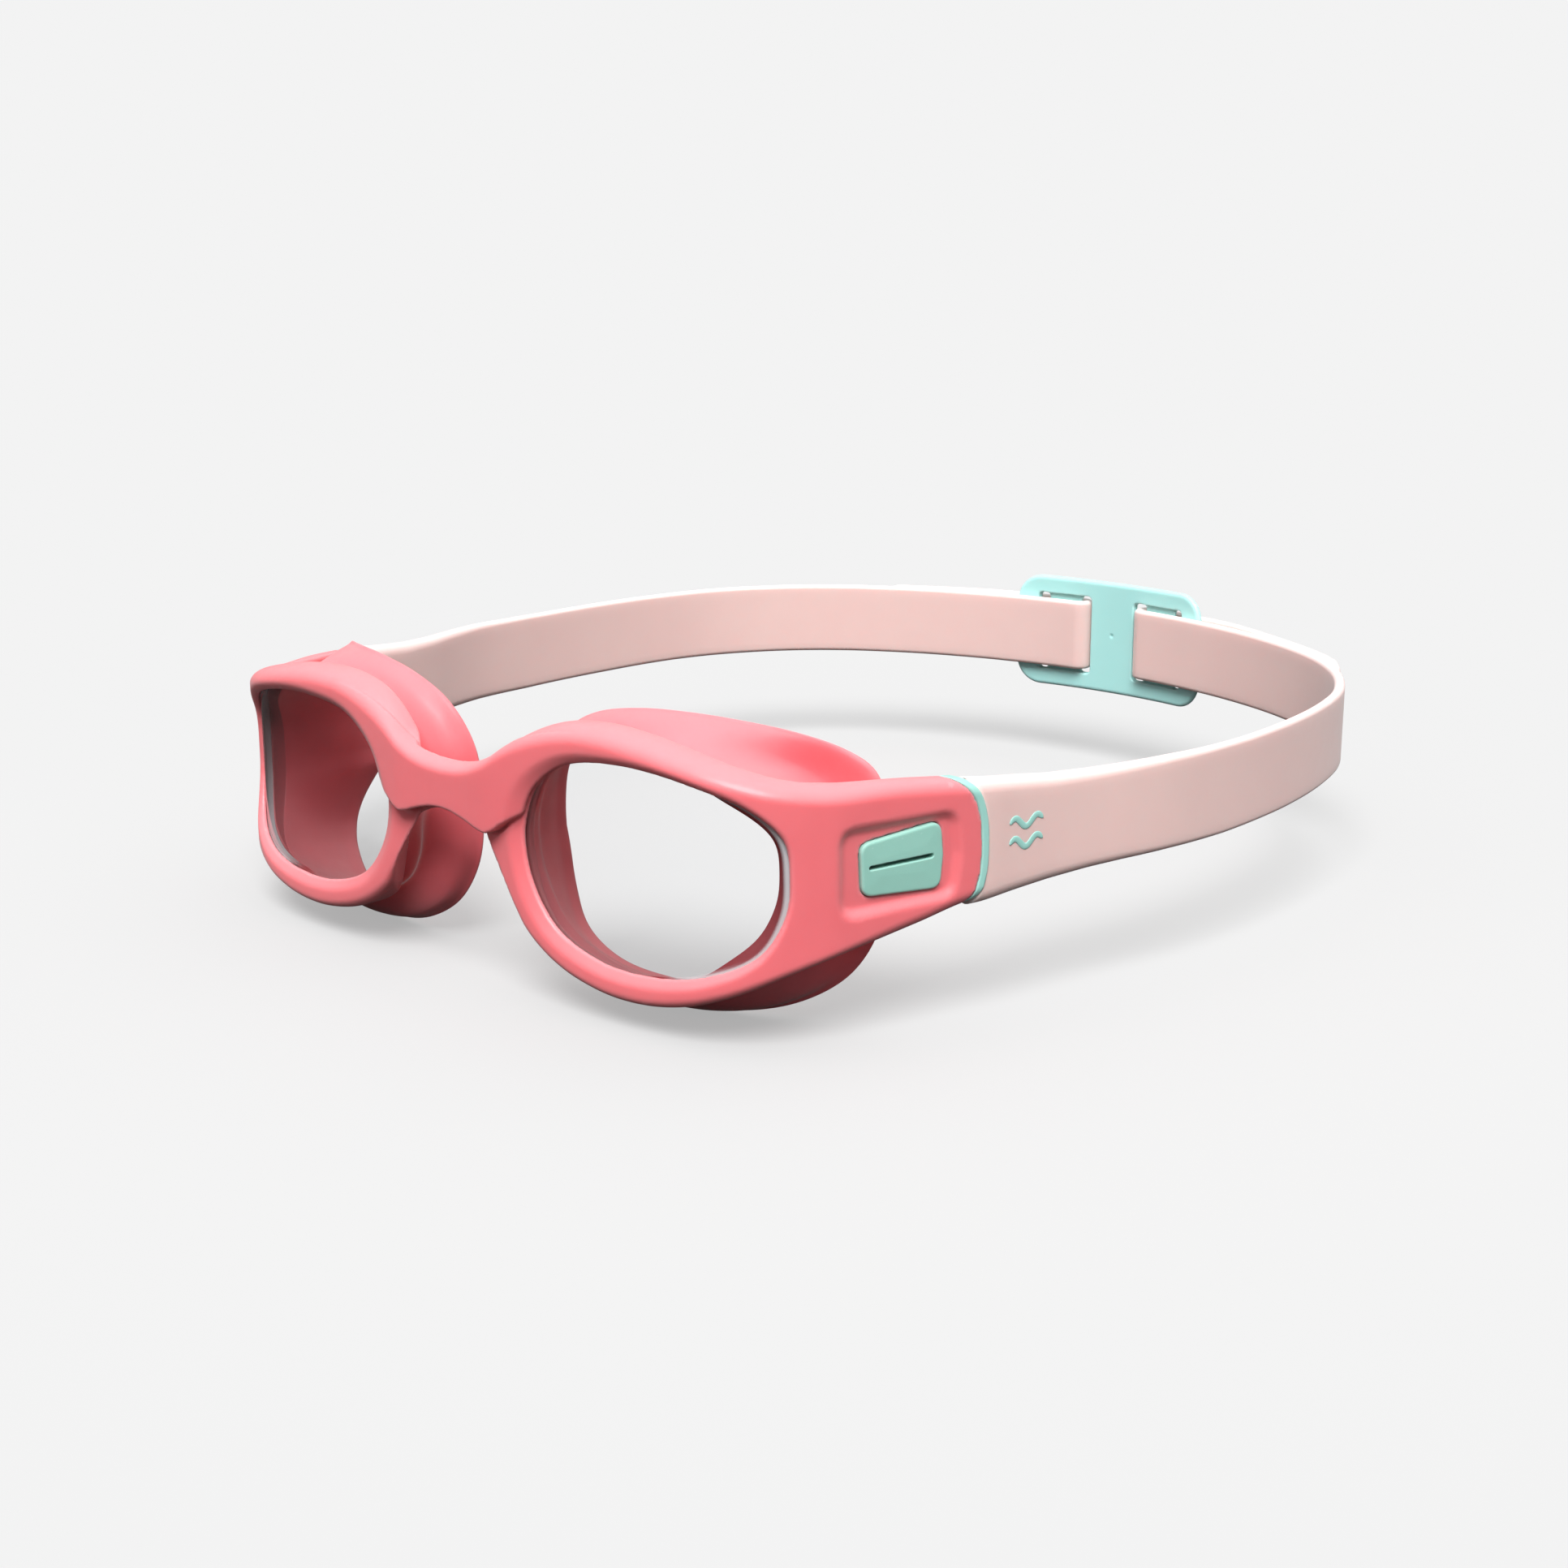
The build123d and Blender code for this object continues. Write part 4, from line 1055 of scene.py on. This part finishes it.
def clear_sheet(name):
    """Clear plastic seen as a thin sheet, with a painted grey glint on its edge and on a crescent by the
    temple.
    """
    material, nodes, surface = new_material(name)
    place = nodes.add("TexCoord").outputs["Object"]
    noise = nodes.noise(place, scale=60.0, detail=3.0)
    rough = nodes.map_range(noise, start=0.0, end=1.0, low=0.02, high=0.07)
    bump = nodes.add("Bump", {"Strength": 0.02, "Distance": 0.0001, "Height": noise})
    gloss = nodes.add("BsdfGlossy", {"Roughness": rough, "Normal": bump})
    # only faces turned to the viewer reflect
    fresnel = nodes.add("Fresnel", {"IOR": 1.5})
    backfacing = nodes.add("NewGeometry").outputs["Backfacing"]
    facing = nodes.add("Math", {0: 1.0, 1: backfacing}, operation="SUBTRACT")
    reflected = nodes.add("Math", {0: fresnel, 1: facing}, operation="MULTIPLY")
    # clear to the camera, but little of the room's light comes in through the lens
    to_camera = nodes.add("LightPath").outputs["Is Camera Ray"]
    tint = nodes.mix_colour(to_camera, (0.5, 0.5, 0.5, 1), (0.99, 0.993, 0.995, 1))
    through = nodes.add("BsdfTransparent", {0: (0.985, 0.99, 0.992, 1)})
    nodes.feed(through.inputs[0], tint)
    sheet = nodes.add("MixShader", {0: reflected, 1: through, 2: gloss})
    # painted glint: a grey surface mixed in where the edge attribute is set
    edge = nodes.add("BsdfPrincipled", {"Roughness": 0.3, "Base Color": linear((206, 209, 212))})
    mask = nodes.add("Attribute", attribute_name="edge").outputs["Fac"]
    share = nodes.add("Math", {0: mask, 1: 0.75}, operation="MULTIPLY")
    nodes.feed(surface, nodes.add("MixShader", {0: share, 1: sheet, 2: edge}))
    return material


# Painted light in these mouldings: the paler edge colour is a painted highlight on edges and on faces
# that look up, and hollows get painted shade.
CORAL = moulded("coral_moulding_mat", (242, 118, 124), (212, 86, 96), roughness=0.40, grain=0.05,
                mottling=0.05, soft=0.22, edge_highlight=0.30, edge=(255, 176, 182), sheen=0.2, coat=0.12,
                top_highlight=0.28)
SEAL = moulded("coral_seal_mat", (242, 112, 120), (190, 74, 86), roughness=0.46, grain=0.06,
               mottling=0.07, soft=0.30, edge_highlight=0.25, edge=(255, 170, 176), sheen=0.3, top_highlight=0.22)
CLEAR = clear_sheet("clear_lens_mat")
CLIP = moulded("mint_clip_mat", (160, 214, 204), (112, 172, 160), roughness=0.42, grain=0.04,
               mottling=0.04, soft=0.08, edge_highlight=0.18)
PRESS = moulded("mint_pad_mat", (150, 202, 188), (92, 148, 138), roughness=0.45, grain=0.05,
                mottling=0.04, soft=0.08, edge_highlight=0.2)
BAND = moulded("pale_band_mat", (236, 202, 196), (224, 180, 176), roughness=0.5, grain=0.05,
               mottling=0.05, soft=0.25, edge_highlight=0.25, edge=(255, 244, 242), sheen=0.3, top_highlight=0.5)
MARK = moulded("band_mark_mat", (160, 214, 204), (120, 180, 168), roughness=0.5, grain=0.03,
               mottling=0.03, soft=0.05, edge_highlight=0.1)
BUCKLE = moulded("mint_buckle_mat", (180, 236, 232), (140, 206, 202), roughness=0.36, grain=0.03,
                 mottling=0.03, soft=0.15, edge_highlight=0.25, edge=(222, 252, 250))


# ---------------------------------------------------------------- pieces
def fit(piece, part, replaces):
    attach(piece, part)
    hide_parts(replaces)


def bend(piece):
    """Bakes the piece's placement into its mesh."""
    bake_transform(piece)


front = surface_nets(frame_sdf, lo=(-79.0, -6.8, -25.2), hi=(79.0, 38.2, 19.4), step=0.36)
fit(add_piece("front_moulding", front, CORAL), "front", "front_frame")
core = surface_nets(core_sdf, lo=(-10.4, -2.8, -4.6), hi=(10.4, 0.6, 7.2), step=0.25)
fit(add_piece("bridge_core", core, CORAL), "front", "nose_bridge_core")

lens = lens_shape()
cup = cup_shape()
clip = surface_nets(clip_sdf, lo=(58.0, 14.0, -11.0), hi=(79.5, 38.4, 12.4), step=0.2)
pad_points, pad_faces = surface_nets(pad_sdf, lo=(-8.6, -6.6, -2.0), hi=(9.2, 7.0, 0.2), step=0.12)
pad = temple_world(*pad_points.T), pad_faces
for side in ("left", "right"):
    sheet = add_piece("lens_sheet_" + side, for_side(side, lens), CLEAR)
    add_painted_lens_glint(sheet, lens[0])
    fit(sheet, "front", "lens_" + side)
    seal = add_piece("eye_seal_" + side, for_side(side, cup), SEAL)
    fit(seal, "front", "skirt_" + side)
    collar = add_piece("clip_collar_" + side, for_side(side, clip), CLIP)
    fit(collar, "front", "strap_clip_" + side)
    press = add_piece("press_pad_" + side, for_side(side, pad), PRESS)
    fit(press, "pad_" + side, "release_pad_" + side)

waves = waves_shape()
for side, tail_end_x in (("left", 66.0), ("right", 52.0)):
    band = add_piece("head_band_" + side, for_side(side, band_shape(tail_end_x)), BAND)
    bend(band)
    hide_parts("strap_" + side)
    mark = add_piece("band_waves_" + side, for_side(side, waves), MARK)
    bend(mark)

buckle = surface_nets(buckle_sdf, lo=(-24.0, 178.6, -13.0), hi=(24.0, 186.4, 13.0), step=0.22)
fit(add_piece("ladder_buckle", buckle, BUCKLE), "loop", "buckle")

# ---------------------------------------------------------------- floor (metres from here on)
BACKDROP = 0.896                    # even tone behind the object, for floor and world
FLOOR_RADII = (0.3, 1.0, 4.0, 16.0)
FLOOR_SIDES = 64


def floor_material():
    """Dark to the light it returns; past the object it fades into the backdrop's tone."""
    material, nodes, surface = new_material("floor_mat")
    seen = nodes.add("BsdfDiffuse", {0: (0.50, 0.50, 0.50, 1)})
    unseen = nodes.add("BsdfDiffuse", {0: (0.05, 0.05, 0.05, 1)})
    glow = nodes.add("Emission", {0: (BACKDROP, BACKDROP, BACKDROP, 1)})
    to_camera = nodes.add("LightPath").outputs["Is Camera Ray"]
    position = nodes.add("NewGeometry").outputs["Position"]
    distance = nodes.add("VectorMath", {0: position}, operation="LENGTH").outputs["Value"]
    fade = nodes.map_range(distance, start=0.11, end=0.27, low=0.45,
                           interpolation_type="SMOOTHSTEP")
    near = nodes.add("MixShader", {0: to_camera, 1: unseen, 2: seen})
    glowing = nodes.add("Math", {0: fade, 1: to_camera}, operation="MULTIPLY")
    nodes.feed(surface, nodes.add("MixShader", {0: glowing, 1: near, 2: glow}))
    return material


def add_floor():
    """Flat disc: a fan in the middle and rings of quads round it."""
    n = FLOOR_SIDES
    points = [(0.0, 0.0, 0.0)]
    for r in FLOOR_RADII:
        angles = [2 * math.pi * i / n for i in range(n)]
        points += [(r * math.cos(a), r * math.sin(a), 0.0) for a in angles]
    faces = [(0, 1 + i, 1 + (i + 1) % n) for i in range(n)]
    for k in range(len(FLOOR_RADII) - 1):
        inner, outer = 1 + k * n, 1 + (k + 1) * n
        for i in range(n):
            j = (i + 1) % n
            faces.append((inner + i, outer + i, outer + j, inner + j))
    return add_mesh("floor", points, faces, floor_material())


add_floor()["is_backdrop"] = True


# ---------------------------------------------------------------- light and camera
def add_world():
    """A room bright overhead and dim near the ground; the camera sees one even tone."""
    world = bpy.data.worlds.new("studio")
    bpy.context.scene.world = world
    world.use_nodes = True
    nodes = Nodes(world.node_tree)
    split = nodes.add("SeparateXYZ", {0: nodes.add("TexCoord").outputs["Generated"]})
    rise = nodes.map_range(split.outputs["Z"], start=0.0, end=1.0, low=0.12, high=1.05)
    to_camera = nodes.add("LightPath").outputs["Is Camera Ray"]
    strength = nodes.add("Mix", {0: to_camera, 2: rise, 3: BACKDROP}, data_type="FLOAT")
    background = world.node_tree.nodes["Background"]
    background.inputs[0].default_value = (1, 1, 1, 1)
    nodes.feed(background.inputs[1], strength)


def add_area(name, at, size, energy):
    """Disc light that looks at the world's origin."""
    light = bpy.data.lights.new(name, "AREA")
    light.shape, light.size, light.energy = "DISK", size, energy
    lamp = bpy.data.objects.new(name, light)
    bpy.context.scene.collection.objects.link(lamp)
    lamp.location = at
    lamp.rotation_euler = (-Vector(at)).to_track_quat("-Z", "Y").to_euler()


def add_camera(at, azimuth, elevation):
    """Camera at a drawing-frame place in metres; the angles in degrees lead back to it."""
    data = bpy.data.cameras.new("camera")
    data.sensor_width, data.lens = 36.0, 54.63
    data.clip_start, data.clip_end = 0.01, 20.0
    camera = bpy.data.objects.new("camera", data)
    bpy.context.scene.collection.objects.link(camera)
    az, el = math.radians(azimuth), math.radians(elevation)
    back = Vector((math.sin(az) * math.cos(el), -math.cos(az) * math.cos(el), math.sin(el)))
    camera.location = tuple(np.array(at) - ORIGIN * MM)
    camera.rotation_euler = (-back).to_track_quat("-Z", "Y").to_euler()
    bpy.context.scene.camera = camera


add_world()
bpy.context.scene.view_settings.view_transform = "Standard"
bpy.context.scene.view_settings.look = "None"
add_area("overhead", at=(-0.6, 0.4, 8.8), size=8.0, energy=60.0)
add_area("front_fill", at=(2.8, -3.8, 6.2), size=4.5, energy=820.0)
add_camera(at=(0.2821, -0.2410, 0.0994), azimuth=41.57, elevation=14.63)

size_after = plain(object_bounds())
